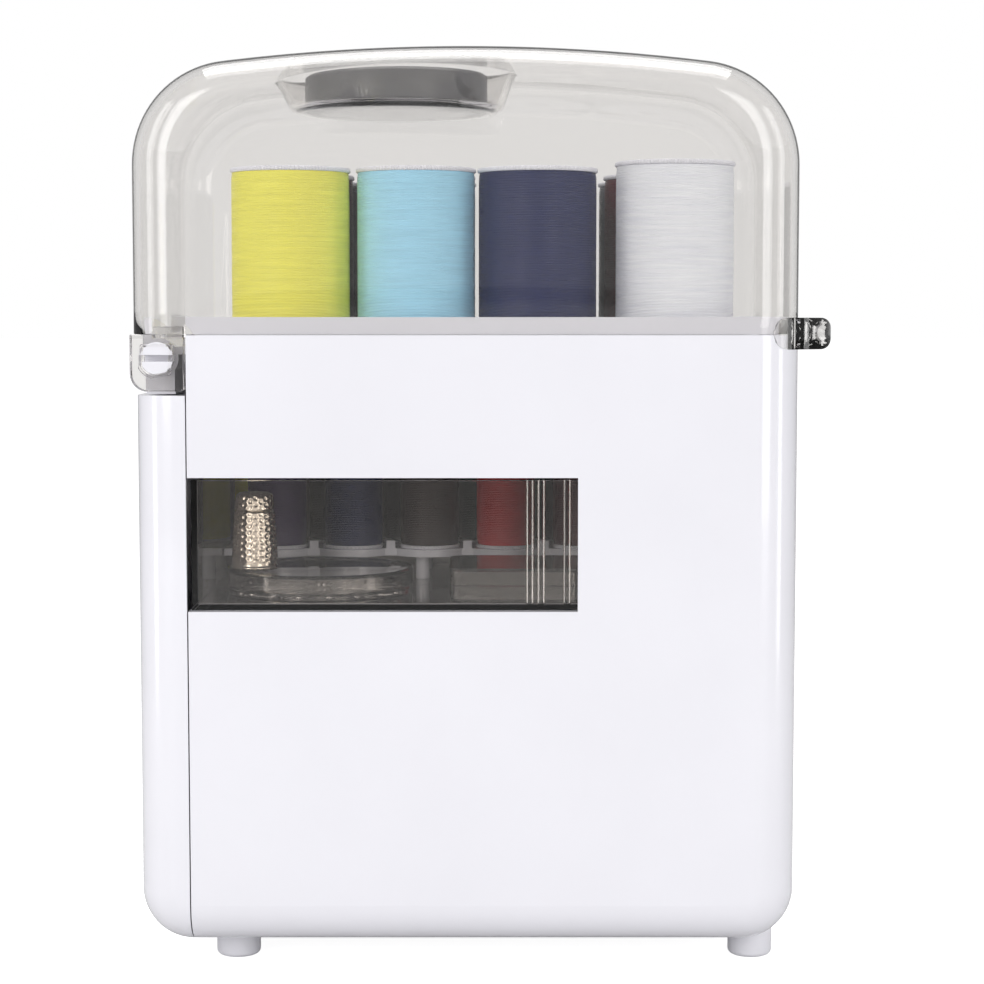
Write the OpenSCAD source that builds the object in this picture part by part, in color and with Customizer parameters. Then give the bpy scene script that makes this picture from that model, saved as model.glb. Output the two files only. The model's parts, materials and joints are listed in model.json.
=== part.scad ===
/* [Box] */
// Length over the lid, from the hinge side to the tab side
box_l = 206; // [178:1:250]
// Depth, from the window wall to the far wall
box_d = 130; // [128:1:160]
// Height of the housing without its feet
housing_h = 190; // [170:1:230]
// Wall thickness of the housing and the end panel
wall = 2.4; // [2:0.1:3]
// Radius of the upright corners in plan
corner_r = 13; // [10:0.5:15]
// Radius of the lower corners seen from the window side
end_r = 16.5; // [12:0.5:20]
// Radius of the lower long edges
edge_r = 12; // [8:0.5:14]

/* [Window] */
// Top of the window below the rim
window_top = 43.6; // [36:0.1:50]
// Height of the window
window_h = 41.3; // [36:0.1:45]
// Length of the window, measured from the seam
window_l = 119.9; // [80:0.1:130]

/* [Lid] */
// Height of the lid above the rim
lid_h = 88.5; // [80:0.5:110]
// Wall thickness of the lid
lid_t = 2.2; // [1.8:0.1:2.4]
// Radius of the lid's shoulders
shoulder_r = 32; // [24:1:38]
// Radius of the lid's crowned top
crown_r = 620; // [400:10:900]
// Radius of the lid's long top edges
brow_r = 11; // [6:0.5:13]
// Width of the thumb tab beyond the tab-side wall
tab_reach = 11; // [6:0.5:14]
// Height of the thumb tab
tab_h = 9.7; // [7:0.1:12]
// Height of the tab below the rim
tab_drop = 4.3; // [3:0.1:5]

/* [Hinge] */
// Distance of the pin from the hinge-side face
pin_in = 8.4; // [7.6:0.1:8.6]
// Depth of the pin below the rim
pin_down = 7; // [7:0.1:8]
// Radius of the stub pins
pin_r = 5; // [4:0.1:5.2]
// Radius of the hinge beam
beam_r = 6.2; // [5.8:0.1:6.4]
// Thickness of a hinge ear
ear_t = 5; // [3:0.1:6]
// Width of a hinge ear
ear_w = 16.5; // [15:0.1:16.6]
// Reach of a hinge ear below the pin
ear_drop = 10.3; // [8.5:0.1:10.4]
// Width of the slot that splits a stub pin
pin_slot = 2; // [1:0.1:3]

/* [Pin puck] */
// Radius of the pocket at its mouth
pocket_r = 37.5; // [34:0.5:42]
// Radius of the pocket at its floor
pocket_floor_r = 34; // [32:0.5:37]
// Depth of the pocket from the crown to its floor
pocket_deep = 14; // [13.5:0.5:18]
// Distance of the pocket's middle from the hinge-side face
pocket_in = 79.5; // [74:0.1:110]
// Radius of the puck
puck_r = 30; // [25:0.5:31]
// Height of the puck
puck_h = 12.5; // [9:0.5:16]

/* [Large spools] */
// Overall diameter of a large spool
spool_d = 37.8; // [30:0.1:38]
// Height of a large spool
spool_h = 55.5; // [45:0.5:66]
// Bore radius of a large spool
spool_bore_r = 4.5; // [3.6:0.1:6]
// Radius of a peg for a large spool
peg_r = 2.6; // [2:0.1:3.2]
// Height of a peg for a large spool
peg_h = 36; // [20:1:42]
// Distance between the columns of pegs
spool_pitch_x = 40.1; // [38.5:0.1:44]
// Distance between the rows of pegs
spool_pitch_y = 39; // [38.3:0.1:39.6]
// First column of pegs from the hinge-side face
spool_first = 46.6; // [44:0.1:52]

/* [Drawer] */
// Width of the end panel, to the seam
panel_w = 17.6; // [17.4:0.1:18]
// Distance that the end panel stands back from the lid's face
panel_inset = 1; // [0:0.1:2]
// Wall thickness of the clear tray
tray_t = 1.8; // [1.4:0.1:2.4]
// Height of the lower bin
bin_h = 90; // [60:1:94]
// Wall thickness of the lower bin
bin_t = 1.8; // [1.4:0.1:2.4]

/* [Small spools] */
// Overall diameter of a small spool
mini_d = 20.4; // [17:0.1:21]
// Height of a small spool
mini_h = 30; // [22:0.5:34]
// Distance between the columns of the rack
mini_pitch_x = 26; // [25.5:0.1:27]
// Distance between the rows of the rack
mini_pitch_y = 22.5; // [21.8:0.1:24]
// Height of the rack's floor above the tray
rack_up = 10.5; // [8:0.1:12]
// Radius of a peg for a small spool
mini_peg_r = 2; // [1.5:0.1:2.4]

/* [Notions] */
// Radius of the round pin case
case_r = 30; // [22:0.5:30]
// Height of the round pin case
case_h = 8.6; // [6.6:0.1:12]
// Height of the thimble
thimble_h = 24.5; // [20:0.5:26]
// Radius of the thimble at its rim
thimble_r = 7.8; // [6.5:0.1:9]
// Length of the flat notions case
flat_l = 44; // [30:1:46]
// Height of the flat notions case
flat_h = 11; // [8:0.5:14]

/* [Feet] */
// Height of a foot
foot_h = 8.6; // [5:0.1:12]
// Radius of a foot
foot_r = 7; // [5:0.1:9]

/* [Hidden] */
$fn = 96;
spool_count = 12;
mini_row = 5;
mini_count = 2 * mini_row;

// Gap between faces that slide or part
slip = 0.3;
// Radial running clearance of a pin in its hole
run = 0.05;
// Overlap of pieces that are moulded as one, and the reach of a cut past a face
eps = 1;

// Outside of the box: hinge-side face, tab-side face, rim plane
x_l = -(box_l + tab_reach) / 2;
x_r = x_l + box_l;
x_mid = (x_l + x_r) / 2;
z_rim = foot_h + housing_h;
y_near = -box_d / 2;
x_seam = x_l + panel_w;
seam_gap = 0.4;

// Hinge axis, and the room that the ears sweep
x_pin = x_l + pin_in;
z_pin = z_rim - pin_down;
ear_front = box_d / 2 - wall - slip;
ear_back = ear_front - ear_t;
beam_end = ear_back - slip;
ear_right = ear_w - pin_in;
ear_sweep = sqrt(pow(ear_right, 2) + pow(ear_drop, 2)) + slip;
ear_round = 5.5;
// Reach of the ears below the pin while they turn
ear_dip = ear_round + sqrt(pow(pin_in - ear_round, 2) + pow(ear_drop - ear_round, 2));
ear_boss_r = pin_r + 1.4;
ear_boss_t = 1.6;
lug_up = 8;

// Deck and its rim band
deck_down = 3.5;
deck_t = 2.4;
band_t = 1.8;
band_up = 5.8;
band_gap = 0.8;
band_in = lid_t + band_gap;
x_deck = x_pin + ear_sweep + slip;
beam_foot = pin_down + ear_dip;

// Clear tray, standing on the lower bin
z_tray = z_rim - window_top - window_h;
tray_h = window_h - 0.8;
bin_gap = 1.5;
x_bin = x_seam - 0.2;
x_bin_end = x_r - wall - bin_gap;
x_tray = x_bin + 0.8;
z_bin = z_tray - bin_h;
side_play = 0.5;
tray_half = box_d / 2 - wall - side_play;
flange_w = 3;
bin_half = tray_half - flange_w - slip;
flange_t = 2;
runner_w = 2.6;
runner_h = 3;
z_runner = z_tray - flange_t - slip - runner_h;
z_tray_floor = z_tray + tray_t;
z_panel_top = z_pin - ear_dip - slip;

// Rack of small spools
z_rack = z_tray_floor + rack_up;
rack_t = 2.5;
rack_first = 37.8;
rack_back_first = 30.8;
rack_y = 15;
scallop_r = mini_pitch_x / 2;
rack_x0 = x_tray + tray_t + slip;
rack_x1 = x_l + rack_first + (mini_row - 1) * mini_pitch_x + scallop_r;
rack_y1 = rack_y + mini_pitch_y + mini_d / 2 + 1;
mini_run = 0.1;

// Notions on the tray's floor
case_x = x_l + 55.7;
case_y = -tray_half + tray_t + case_r + 0.6;
case_t = 1;
case_split = 0.35 * case_h;
// The thimble stands on the case's left part, as shares of the case's radius
thimble_left = 0.68;
thimble_near = 0.2;
thimble_x = case_x - thimble_left * case_r;
thimble_y = case_y - thimble_near * case_r;
thimble_t = 0.6;
thimble_top_r = 0.77 * thimble_r;
flat_x = x_l + 97.7;
flat_y = -tray_half + tray_t + 1.5;
flat_w = 40;
flat_t = 1.2;
barrel_in = 12;
foot_stem_r = 2.5;

// Puck in the lid's pocket
x_pocket = x_l + pocket_in;
z_top = z_rim + lid_h;
z_pocket = z_top - pocket_deep;

function spool_col(i) = (i - 1) % 4;
function spool_row(i) = floor((i - 1) / 4);
// How far the spools of the window-side row stand from their pegs, as shares of the play
front_lean = [0.65, 0.3, -0.8, 1];
spool_play = max(0, spool_bore_r - peg_r - 0.2);
function peg_x(i) = x_l + spool_first + spool_col(i) * spool_pitch_x;
function peg_y(i) = (spool_row(i) - 1) * spool_pitch_y;
function spool_x(i) = peg_x(i) + (spool_row(i) == 0 ? front_lean[spool_col(i)] * spool_play : 0);
// The last spool of the window-side row is a taller one
tall_extra = 2;
function spool_top(i) = spool_h + (i == 4 ? tall_extra : 0);
flange = 1.4;
winding_in = 0.3;
barrel_r = 9;

function mini_col(i) = (i - 1) % mini_row;
function mini_back(i) = i > mini_row;
function mini_x(i) = x_l + (mini_back(i) ? rack_back_first : rack_first) + mini_col(i) * mini_pitch_x;
function mini_y(i) = rack_y + (mini_back(i) ? mini_pitch_y : 0);

// Rectangle with round corners, its lower left corner at the origin
module round_rect(w, h, r) {
    translate([r, 0]) square([w - 2 * r, h]);
    translate([0, r]) square([w, h - 2 * r]);
    for (x = [r, w - r], y = [r, h - r])
        translate([x, y]) circle(r);
}

// Outline of the box seen from above, drawn in by a wall
module plan(inset) {
    translate([x_l + inset, y_near + inset])
        round_rect(box_l - 2 * inset, box_d - 2 * inset, corner_r - inset);
}

// Outline of a tub with round lower corners
module tub_outline(w, h, r) {
    translate([0, r]) square([w, h - r]);
    translate([r, 0]) square([w - 2 * r, h]);
    for (x = [r, w - r])
        translate([x, r]) circle(r);
}

module lay_along_y(length) {
    translate([0, length / 2, 0]) rotate([90, 0, 0]) linear_extrude(length) children();
}

module lay_along_x(x0, x1) {
    translate([x0, 0, 0]) rotate([90, 0, 90]) linear_extrude(x1 - x0) children();
}

// Outside of the housing and panel together, drawn in by a wall
module tub(inset) {
    intersection() {
        translate([0, 0, foot_h]) linear_extrude(housing_h) plan(inset);
        translate([x_l + inset, 0, foot_h + inset])
            lay_along_y(box_d) tub_outline(box_l - 2 * inset, housing_h, end_r - inset);
        translate([0, y_near + inset, foot_h + inset])
            lay_along_x(x_l, x_r) tub_outline(box_d - 2 * inset, housing_h, edge_r - inset);
    }
}

// Side view of the lid: crowned top, shoulders tangent to it, straight walls
module lid_side(inset) {
    half = box_l / 2;
    z_crown = lid_h - crown_r;
    run_x = half - shoulder_r;
    z_shoulder = z_crown + sqrt(pow(crown_r - shoulder_r, 2) - pow(run_x, 2));
    reach = 2 * crown_r / (crown_r - shoulder_r);
    tip_x = run_x * reach;
    tip_z = z_crown + (z_shoulder - z_crown) * reach;
    translate([-half + inset, 0]) square([box_l - 2 * inset, z_shoulder]);
    for (side = [-1, 1])
        translate([side * run_x, z_shoulder]) circle(shoulder_r - inset);
    intersection() {
        translate([0, z_crown]) circle(crown_r - inset, $fn = 720);
        polygon([[0, z_crown], [tip_x, tip_z], [-tip_x, tip_z]]);
        translate([-half, 0]) square([box_l, lid_h]);
    }
}

module lid_form(inset) {
    intersection() {
        translate([x_mid, 0, z_rim]) lay_along_y(box_d) lid_side(inset);
        translate([0, 0, z_rim + slip]) linear_extrude(lid_h) plan(inset);
        translate([0, y_near + inset, z_rim])
            lay_along_x(x_l, x_r)
                translate([0, lid_h - inset]) mirror([0, 1])
                    tub_outline(box_d - 2 * inset, lid_h + eps, brow_r - inset);
    }
}

// Cylinder along the hinge axis, on both sides of the middle, from y0 to y1
module hinge_rounds(r, y0, y1) {
    for (side = [-1, 1])
        translate([x_pin, side * (y0 + y1) / 2, z_pin])
            rotate([90, 0, 0]) cylinder(h = y1 - y0, r = r, center = true);
}

// Blocks on both sides of the middle, from y0 to y1
module side_blocks(x0, x1, y0, y1, z0, z1) {
    for (side = [-1, 1])
        translate([x0, side > 0 ? y0 : -y1, z0]) cube([x1 - x0, y1 - y0, z1 - z0]);
}

module housing_shell() {
    color("white") difference() {
        intersection() {
            tub(0);
            translate([x_seam, y_near, 0]) cube([box_l, box_d, z_rim]);
        }
        intersection() {
            tub(wall);
            translate([x_l, y_near, 0]) cube([box_l, box_d, z_rim + eps]);
        }
        // window, open towards the seam
        translate([x_seam - eps, y_near - eps, z_tray])
            cube([window_l + eps, wall + 2 * eps, window_h]);
        // sockets for the stems of the feet
        foot_places() cylinder(h = foot_h + 1.2, r = foot_stem_r + run);
    }
}

module foot_places() {
    foot_in = 12;
    foot_back = 25;
    for (x = [x_seam + foot_in, x_r - foot_in], side = [-1, 1])
        translate([x, side * (box_d / 2 - foot_back), 0]) children();
}

module feet() {
    // the housing curves up over the tab-side feet, so each foot follows it, and its stem goes in
    color("whitesmoke") {
        difference() {
            foot_places() cylinder(h = foot_h + foot_r, r = foot_r);
            tub(0);
        }
        foot_places() cylinder(h = foot_h + 1.2, r = foot_stem_r);
    }
}

module drawer_runners() {
    color("white")
        side_blocks(x_seam + 6, x_r - corner_r - 1, tray_half + side_play - runner_w, tray_half + side_play,
            z_runner, z_runner + runner_h);
}

module spool_deck() {
    color("white") {
        difference() {
            union() {
                translate([0, 0, z_rim - deck_down - deck_t]) linear_extrude(deck_t)
                    intersection() {
                        plan(wall);
                        translate([x_deck, y_near]) square([box_l, box_d]);
                    }
                translate([0, 0, z_rim - deck_down - eps]) linear_extrude(deck_down + band_up + eps)
                    intersection() {
                        difference() {
                            plan(band_in);
                            plan(band_in + band_t);
                        }
                        translate([x_l + ear_w + 0.8, y_near]) square([box_l, box_d]);
                    }
            }
            hinge_rounds(ear_sweep + slip, beam_end - eps, box_d / 2);
        }
        for (i = [1:spool_count])
            translate([peg_x(i), peg_y(i), z_rim - deck_down - eps]) {
                cylinder(h = peg_h + eps, r = peg_r);
                translate([0, 0, peg_h + eps]) sphere(peg_r);
            }
    }
}

module hinge_beam() {
    web_back = 4;
    color("white") difference() {
        union() {
            rotate([90, 0, 0]) translate([x_pin, z_pin, 0])
                cylinder(h = 2 * beam_end, r = beam_r, center = true);
            hinge_rounds(pin_r, beam_end - eps, ear_front + 0.6);
            // apron down to the end panel, and the ledge that meets the deck
            translate([x_pin - web_back, -beam_end, z_rim - beam_foot])
                cube([web_back + 5, 2 * beam_end, beam_foot - deck_down - deck_t + eps]);
            translate([x_pin, -beam_end, z_rim - deck_down - deck_t])
                cube([x_deck - x_pin, 2 * beam_end, deck_t]);
            // the band's wall at the hinge side
            translate([0, 0, z_rim - deck_down - deck_t]) linear_extrude(deck_down + deck_t + band_up)
                intersection() {
                    difference() {
                        plan(band_in);
                        plan(band_in + band_t);
                    }
                    translate([x_l, -beam_end]) square([x_deck - x_l, 2 * beam_end]);
                }
        }
        // slot that splits each stub pin
        side_blocks(x_pin - pin_r - eps, x_pin + pin_r + eps, ear_back + 0.5, box_d / 2,
            z_pin - pin_slot / 2, z_pin + pin_slot / 2);
        // the band's corner keeps clear of the ears' plane
        side_blocks(x_l, x_pin - beam_r, beam_end - 0.1, box_d / 2, z_pin, z_top);
    }
}

module ear_outline() {
    left = -pin_in;
    top = pin_down + slip + lug_up;
    translate([left, -ear_drop + ear_round]) square([ear_w, ear_drop - ear_round + top]);
    translate([left + ear_round, -ear_drop]) square([ear_w - ear_round, ear_drop]);
    translate([left + ear_round, -ear_drop + ear_round]) circle(ear_round);
}

// One hinge ear on the window side, with its boss and its bridge to the lid's wall
module ear() {
    difference() {
        union() {
            // above the rim the plate keeps within the lid's round corner
            intersection() {
                translate([x_pin, -ear_back, z_pin]) rotate([90, 0, 0]) linear_extrude(ear_t) ear_outline();
                union() {
                    lid_form(lid_t / 2);
                    translate([x_l, y_near, z_pin - box_d]) cube([box_l, box_d, box_d + pin_down + slip]);
                }
            }
            translate([x_pin, -ear_front - ear_boss_t, z_pin]) rotate([-90, 0, 0])
                cylinder(h = ear_boss_t + eps, r = ear_boss_r);
            intersection() {
                lid_form(lid_t / 2);
                translate([x_l, y_near, z_rim]) cube([ear_w, box_d / 2 - ear_back, slip + lug_up]);
            }
        }
        translate([x_pin, 0, z_pin]) rotate([90, 0, 0]) cylinder(h = box_d, r = pin_r + run);
    }
}

module lid_shell() {
    color("lightgray", 0.35) {
        difference() {
            lid_form(0);
            difference() {
                translate([0, 0, -eps]) lid_form(lid_t);
                pocket_solid(lid_t);
            }
            translate([0, 0, z_rim - eps]) linear_extrude(2 * eps) plan(lid_t);
            translate([x_pocket, 0, z_pocket])
                cylinder(h = pocket_deep + eps, r1 = pocket_floor_r, r2 = pocket_mouth_r());
        }
        ear();
        mirror([0, 1, 0]) ear();
    }
}

function pocket_mouth_r() = pocket_r + (pocket_r - pocket_floor_r) * eps / pocket_deep;

// Solid round the pocket, a wall thicker than the pocket itself
module pocket_solid(thick) {
    translate([x_pocket, 0, z_pocket - thick])
        cylinder(h = pocket_deep + thick, r1 = pocket_floor_r + thick / 2, r2 = pocket_r + thick);
}

module thumb_tab() {
    tab_in = 9;
    lip_r = corner_r + 6;
    z0 = z_rim - tab_drop;
    round_r = tab_h / 2;
    color("lightgray", 0.35) difference() {
        intersection() {
            translate([0, 0, z0]) linear_extrude(tab_h)
                translate([x_l, y_near]) round_rect(box_l + tab_reach, box_d, lip_r);
            translate([x_r - tab_in, 0, z0])
                lay_along_y(box_d) round_rect(tab_in + tab_reach, tab_h, round_r - 0.1);
        }
        translate([0, 0, z0 - eps]) linear_extrude(tab_drop + slip + eps) plan(-slip);
        translate([0, 0, z_rim]) linear_extrude(tab_h) plan(0);
    }
}

module puck_case() {
    skin = 1.6;
    color("dimgray") translate([x_pocket, 0, z_pocket]) difference() {
        union() {
            cylinder(h = puck_h - skin, r = puck_r);
            translate([0, 0, puck_h - skin]) cylinder(h = skin, r1 = puck_r, r2 = puck_r - skin);
        }
        // dish for the pins, and the room for the magnet below it
        translate([0, 0, puck_h - 3]) cylinder(h = 3 + eps, r1 = puck_r - 6, r2 = puck_r - 4 + eps);
        translate([0, 0, -eps]) cylinder(h = 4.4 + eps, r = puck_r - skin - 4 + run);
    }
}

module puck_magnet() {
    color("gray") translate([x_pocket, 0, z_pocket + 0.4]) difference() {
        cylinder(h = 4, r = puck_r - 5.6);
        translate([0, 0, -eps]) cylinder(h = 4 + 2 * eps, r = 8);
    }
}

module end_panel() {
    pull_w = 60;
    pull_h = 16;
    pull_deep = 8;
    pull_t = 2;
    pull_z = z_rim - 60;
    boss_r = 4;
    z_room = z_panel_top - foot_h;
    color("white") difference() {
        union() {
            difference() {
                panel_block(0);
                translate([0, 0, -wall]) intersection() {
                    panel_block(wall);
                    translate([x_l, y_near, 0]) cube([box_l, box_d, z_panel_top]);
                }
            }
            // bosses for the screws, and the finger pull's cup
            intersection() {
                panel_block(0);
                union() {
                    screw_places() rotate([0, -90, 0]) cylinder(h = panel_w - wall, r = boss_r);
                    translate([x_l + panel_inset, -pull_w / 2 - pull_t, pull_z - pull_t])
                        cube([pull_deep + pull_t, pull_w + 2 * pull_t, pull_h + 2 * pull_t]);
                }
            }
        }
        translate([x_l + panel_inset - eps, -pull_w / 2, pull_z]) cube([pull_deep + eps, pull_w, pull_h]);
        screw_places() rotate([0, -90, 0]) cylinder(h = 9, r = 1.5 + run);
    }
}

// The end panel's outer block: the hinge end of the tub, set back from the lid's face
module panel_block(inset) {
    intersection() {
        translate([panel_inset, 0, 0]) tub(inset);
        translate([x_l, y_near, 0]) cube([panel_w - seam_gap + (inset > 0 ? eps : 0), box_d, z_panel_top]);
    }
}

// Screw axes along X, at the panel's open edge
module screw_places() {
    for (side = [-1, 1], z = [z_bin + 16, z_tray - 22])
        translate([x_seam - seam_gap, side * (bin_half - 14), z]) children();
}

module panel_screws() {
    head_h = 1.8;
    color("silver") screw_places() {
        translate([seam_gap - 0.2 + bin_t, 0, 0]) rotate([0, 90, 0]) cylinder(h = head_h, r1 = 3.2, r2 = 2.4);
        translate([-8, 0, 0]) rotate([0, 90, 0]) cylinder(h = 8 + seam_gap - 0.2 + bin_t + eps / 2, r = 1.5);
    }
}

module lower_bin() {
    side_in = flange_w + slip;
    color("gainsboro") difference() {
        union() {
            drawer_plan(x_bin - side_in, x_bin_end, z_bin, bin_h, side_in);
            drawer_plan(x_bin, x_bin_end, z_tray - flange_t, flange_t, 0);
        }
        drawer_plan(x_bin - side_in, x_bin_end, z_bin + bin_t, bin_h, side_in + bin_t);
        screw_places() rotate([0, 90, 0]) cylinder(h = seam_gap + bin_t + 2, r = 1.5 + run);
    }
}

// Slab of the drawer's outline, which keeps clear of the housing's round corners
module drawer_plan(x0, x1, z, h, inset) {
    translate([0, 0, z]) linear_extrude(h) intersection() {
        plan(wall + side_play + inset);
        translate([x0 + inset, y_near]) square([x1 - x0 - 2 * inset, box_d]);
    }
}

module clear_tray() {
    end_play = 0.2;
    x1 = x_bin_end - end_play;
    rib_w = 1.6;
    // ribs inside the window wall and the far wall, from the window's end, which guide a divider
    rib_places = [14.7, 11.2, 3.2];
    color("lightgray", 0.35) {
        difference() {
            drawer_plan(x_tray, x1, z_tray, tray_h, 0);
            drawer_plan(x_tray, x1, z_tray_floor, tray_h, tray_t);
        }
        for (back = rib_places, side = [-1, 1])
            translate([x_seam + window_l - back - rib_w / 2, side > 0 ? tray_half - tray_t - 1.2 : -tray_half + tray_t - eps / 2,
                z_tray_floor - eps / 2])
                cube([rib_w, 1.2 + eps / 2, tray_h - tray_t + eps / 2]);
    }
}

module spool_rack() {
    leg_r = 2.4;
    post = 3;
    post_h = 2.7;
    y_front = rack_y - scallop_r;
    color("white") {
        translate([0, 0, z_rack - rack_t]) linear_extrude(rack_t) {
            translate([rack_x0, rack_y]) square([rack_x1 - rack_x0, rack_y1 - rack_y]);
            for (k = [0:mini_row - 1])
                translate([x_l + rack_first + k * mini_pitch_x, rack_y]) circle(scallop_r);
            translate([rack_x0, y_front + 6]) square([rack_x1 - rack_x0, scallop_r]);
        }
        for (i = [1:mini_count])
            translate([mini_x(i), mini_y(i), z_rack - eps]) cylinder(h = 0.7 * mini_h, r = mini_peg_r);
        for (x = [rack_x0 + 5, (rack_x0 + rack_x1) / 2, rack_x1 - 5], y = [rack_y - 4, rack_y1 - 5])
            translate([x, y, z_tray_floor]) cylinder(h = rack_up - rack_t + eps, r = leg_r);
        for (k = [0:mini_row - 2])
            translate([x_l + rack_first + (k + 0.5) * mini_pitch_x - post / 2, y_front + 6, z_rack - eps])
                cube([post, post, post_h + eps]);
    }
}

module pin_case_base() {
    color("lightgray", 0.5) translate([case_x, case_y, z_tray_floor]) difference() {
        union() {
            cylinder(h = case_split, r = case_r);
            cylinder(h = case_h - case_t - 0.3, r = case_r - case_t - 0.4);
        }
        translate([0, 0, case_t]) cylinder(h = case_h, r = case_r - 2 * case_t - 0.4);
    }
}

module pin_case_lid() {
    color("lightgray", 0.5) translate([case_x, case_y, z_tray_floor]) difference() {
        translate([0, 0, case_split]) cylinder(h = case_h - case_split, r = case_r);
        translate([0, 0, case_split - eps]) cylinder(h = case_h - case_t - case_split + eps, r = case_r - case_t);
    }
}

module sewing_pins() {
    pin_d = 0.8;
    color("silver") translate([case_x, case_y, z_tray_floor + case_t + pin_d])
        for (a = [0:20:340])
            rotate([0, 0, a]) translate([5, 0, 0]) {
                rotate([0, 90, 0]) cylinder(h = case_r - 10, r = pin_d / 2);
                translate([case_r - 5 - 1.4 - 3, 0, 0.2]) sphere(1);
            }
}

module thimble() {
    dome_h = 2.4;
    color("silver") translate([thimble_x, thimble_y, z_tray_floor + case_h])
        rotate_extrude() difference() {
            polygon([[0, 0], [thimble_r, 0], [thimble_r, 1], [thimble_r - 0.4, 1.2],
                [thimble_top_r, thimble_h - dome_h], [thimble_top_r - 1.4, thimble_h - 0.7], [0, thimble_h]]);
            polygon([[-eps, -eps], [thimble_r - thimble_t, -eps], [thimble_r - thimble_t, 0],
                [thimble_top_r - thimble_t, thimble_h - dome_h - thimble_t], [0, thimble_h - 1.8], [-eps, thimble_h - 1.8]]);
        }
}

// One half of the flat notions case: a shallow tray
module flat_half(h) {
    difference() {
        linear_extrude(h) round_rect(flat_l, flat_w, 5);
        translate([flat_t, flat_t, flat_t]) linear_extrude(h) round_rect(flat_l - 2 * flat_t, flat_w - 2 * flat_t, 4);
    }
}

module flat_case_base() {
    color("lightgray", 0.5) translate([flat_x, flat_y, z_tray_floor]) {
        flat_half(flat_h / 2 - slip / 2);
        // hinge barrel at the tab side, and the pin through it
        translate([flat_l + 0.9, barrel_in, flat_h / 2]) rotate([-90, 0, 0])
            cylinder(h = flat_w - 2 * barrel_in, r = 0.8);
        translate([flat_l - 0.5, barrel_in, flat_h / 2 - 1.6]) cube([1.6, flat_w - 2 * barrel_in, 1.2]);
        translate([flat_l + 0.9, barrel_in - 3, flat_h / 2]) rotate([-90, 0, 0])
            cylinder(h = flat_w - 2 * barrel_in + 6, r = 0.45);
    }
}

module flat_case_lid() {
    color("lightgray", 0.5) translate([flat_x, flat_y, z_tray_floor + flat_h]) {
        mirror([0, 0, 1]) flat_half(flat_h / 2 - slip / 2);
        // ears round the ends of the hinge pin
        for (y = [barrel_in - 3, flat_w - barrel_in + slip])
            difference() {
                union() {
                    translate([flat_l + 0.9, y, -flat_h / 2]) rotate([-90, 0, 0])
                        cylinder(h = 3 - slip, r = 0.85);
                    translate([flat_l - 0.5, y, -flat_h / 2 + slip / 2]) cube([1.4, 3 - slip, 0.7]);
                }
                translate([flat_l + 0.9, y - eps, -flat_h / 2]) rotate([-90, 0, 0])
                    cylinder(h = 5, r = 0.45 + run);
            }
    }
}

// Core of a spool: barrel, two flanges and a through bore
module core(d, h, fl, r, bore) {
    difference() {
        union() {
            cylinder(h = fl, r = d / 2);
            cylinder(h = h, r = r);
            translate([0, 0, h - fl]) cylinder(h = fl, r = d / 2);
        }
        translate([0, 0, -eps]) cylinder(h = h + 2 * eps, r = bore);
    }
}

// Winding between the flanges, slightly crowned
module winding(d, h, fl, r) {
    rotate_extrude() polygon([[r, fl], [d / 2 - 0.3, fl], [d / 2, fl + 5], [d / 2, h - fl - 5], [d / 2 - 0.3, h - fl], [r, h - fl]]);
}

module spool_core(i) {
    color("white") translate([spool_x(i), peg_y(i), z_rim - deck_down])
        core(spool_d, spool_top(i), flange, barrel_r, spool_bore_r);
}

module spool_thread(i) {
    shades = ["yellow", "skyblue", "midnightblue", "white", "darkred", "maroon", "darkred", "maroon",
        "black", "darkgreen", "black", "gray"];
    color(shades[i - 1]) translate([spool_x(i), peg_y(i), z_rim - deck_down])
        winding(spool_d - 2 * winding_in, spool_top(i), flange, barrel_r);
}

module mini_spool(i) {
    shades = ["indigo", "midnightblue", "black", "red", "firebrick", "yellow", "black", "black", "darkgreen", "black"];
    mini_flange = 1;
    mini_barrel_r = mini_peg_r + 1.6;
    wound_gap = 0.05;
    color(shades[i - 1]) translate([mini_x(i), mini_y(i), z_rack]) {
        core(mini_d, mini_h, mini_flange, mini_barrel_r, mini_peg_r + mini_run);
        winding(mini_d - 0.4, mini_h, mini_flange + wound_gap, mini_barrel_r + wound_gap);
    }
}

housing_shell();
spool_deck();
hinge_beam();
feet();
drawer_runners();
lid_shell();
thumb_tab();
puck_case();
puck_magnet();
end_panel();
lower_bin();
clear_tray();
spool_rack();
panel_screws();
pin_case_base();
pin_case_lid();
sewing_pins();
thimble();
flat_case_base();
flat_case_lid();
for (i = [1:spool_count]) {
    spool_core(i);
    spool_thread(i);
}
for (i = [1:mini_count])
    mini_spool(i);
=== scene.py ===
import json
import math

import bmesh
import bpy
import numpy as np
from bpy.props import FloatProperty, FloatVectorProperty, IntProperty, PointerProperty
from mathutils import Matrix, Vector


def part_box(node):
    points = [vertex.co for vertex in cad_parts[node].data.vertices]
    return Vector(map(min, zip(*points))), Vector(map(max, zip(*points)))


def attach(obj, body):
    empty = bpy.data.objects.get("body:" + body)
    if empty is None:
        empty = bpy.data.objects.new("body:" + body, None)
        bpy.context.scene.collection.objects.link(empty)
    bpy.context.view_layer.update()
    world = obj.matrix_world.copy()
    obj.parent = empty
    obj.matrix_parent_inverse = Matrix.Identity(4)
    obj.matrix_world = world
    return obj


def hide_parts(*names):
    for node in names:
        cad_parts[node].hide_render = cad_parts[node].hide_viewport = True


bl_info = {
    "name": "Thread spool storage box",
    "version": (1, 0, 0),
    "blender": (4, 5, 0),
    "location": "View3D > Sidebar > Spool Box",
    "description": "Detailed meshes and finishes for a thread spool storage box",
    "category": "Object",
}

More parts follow.
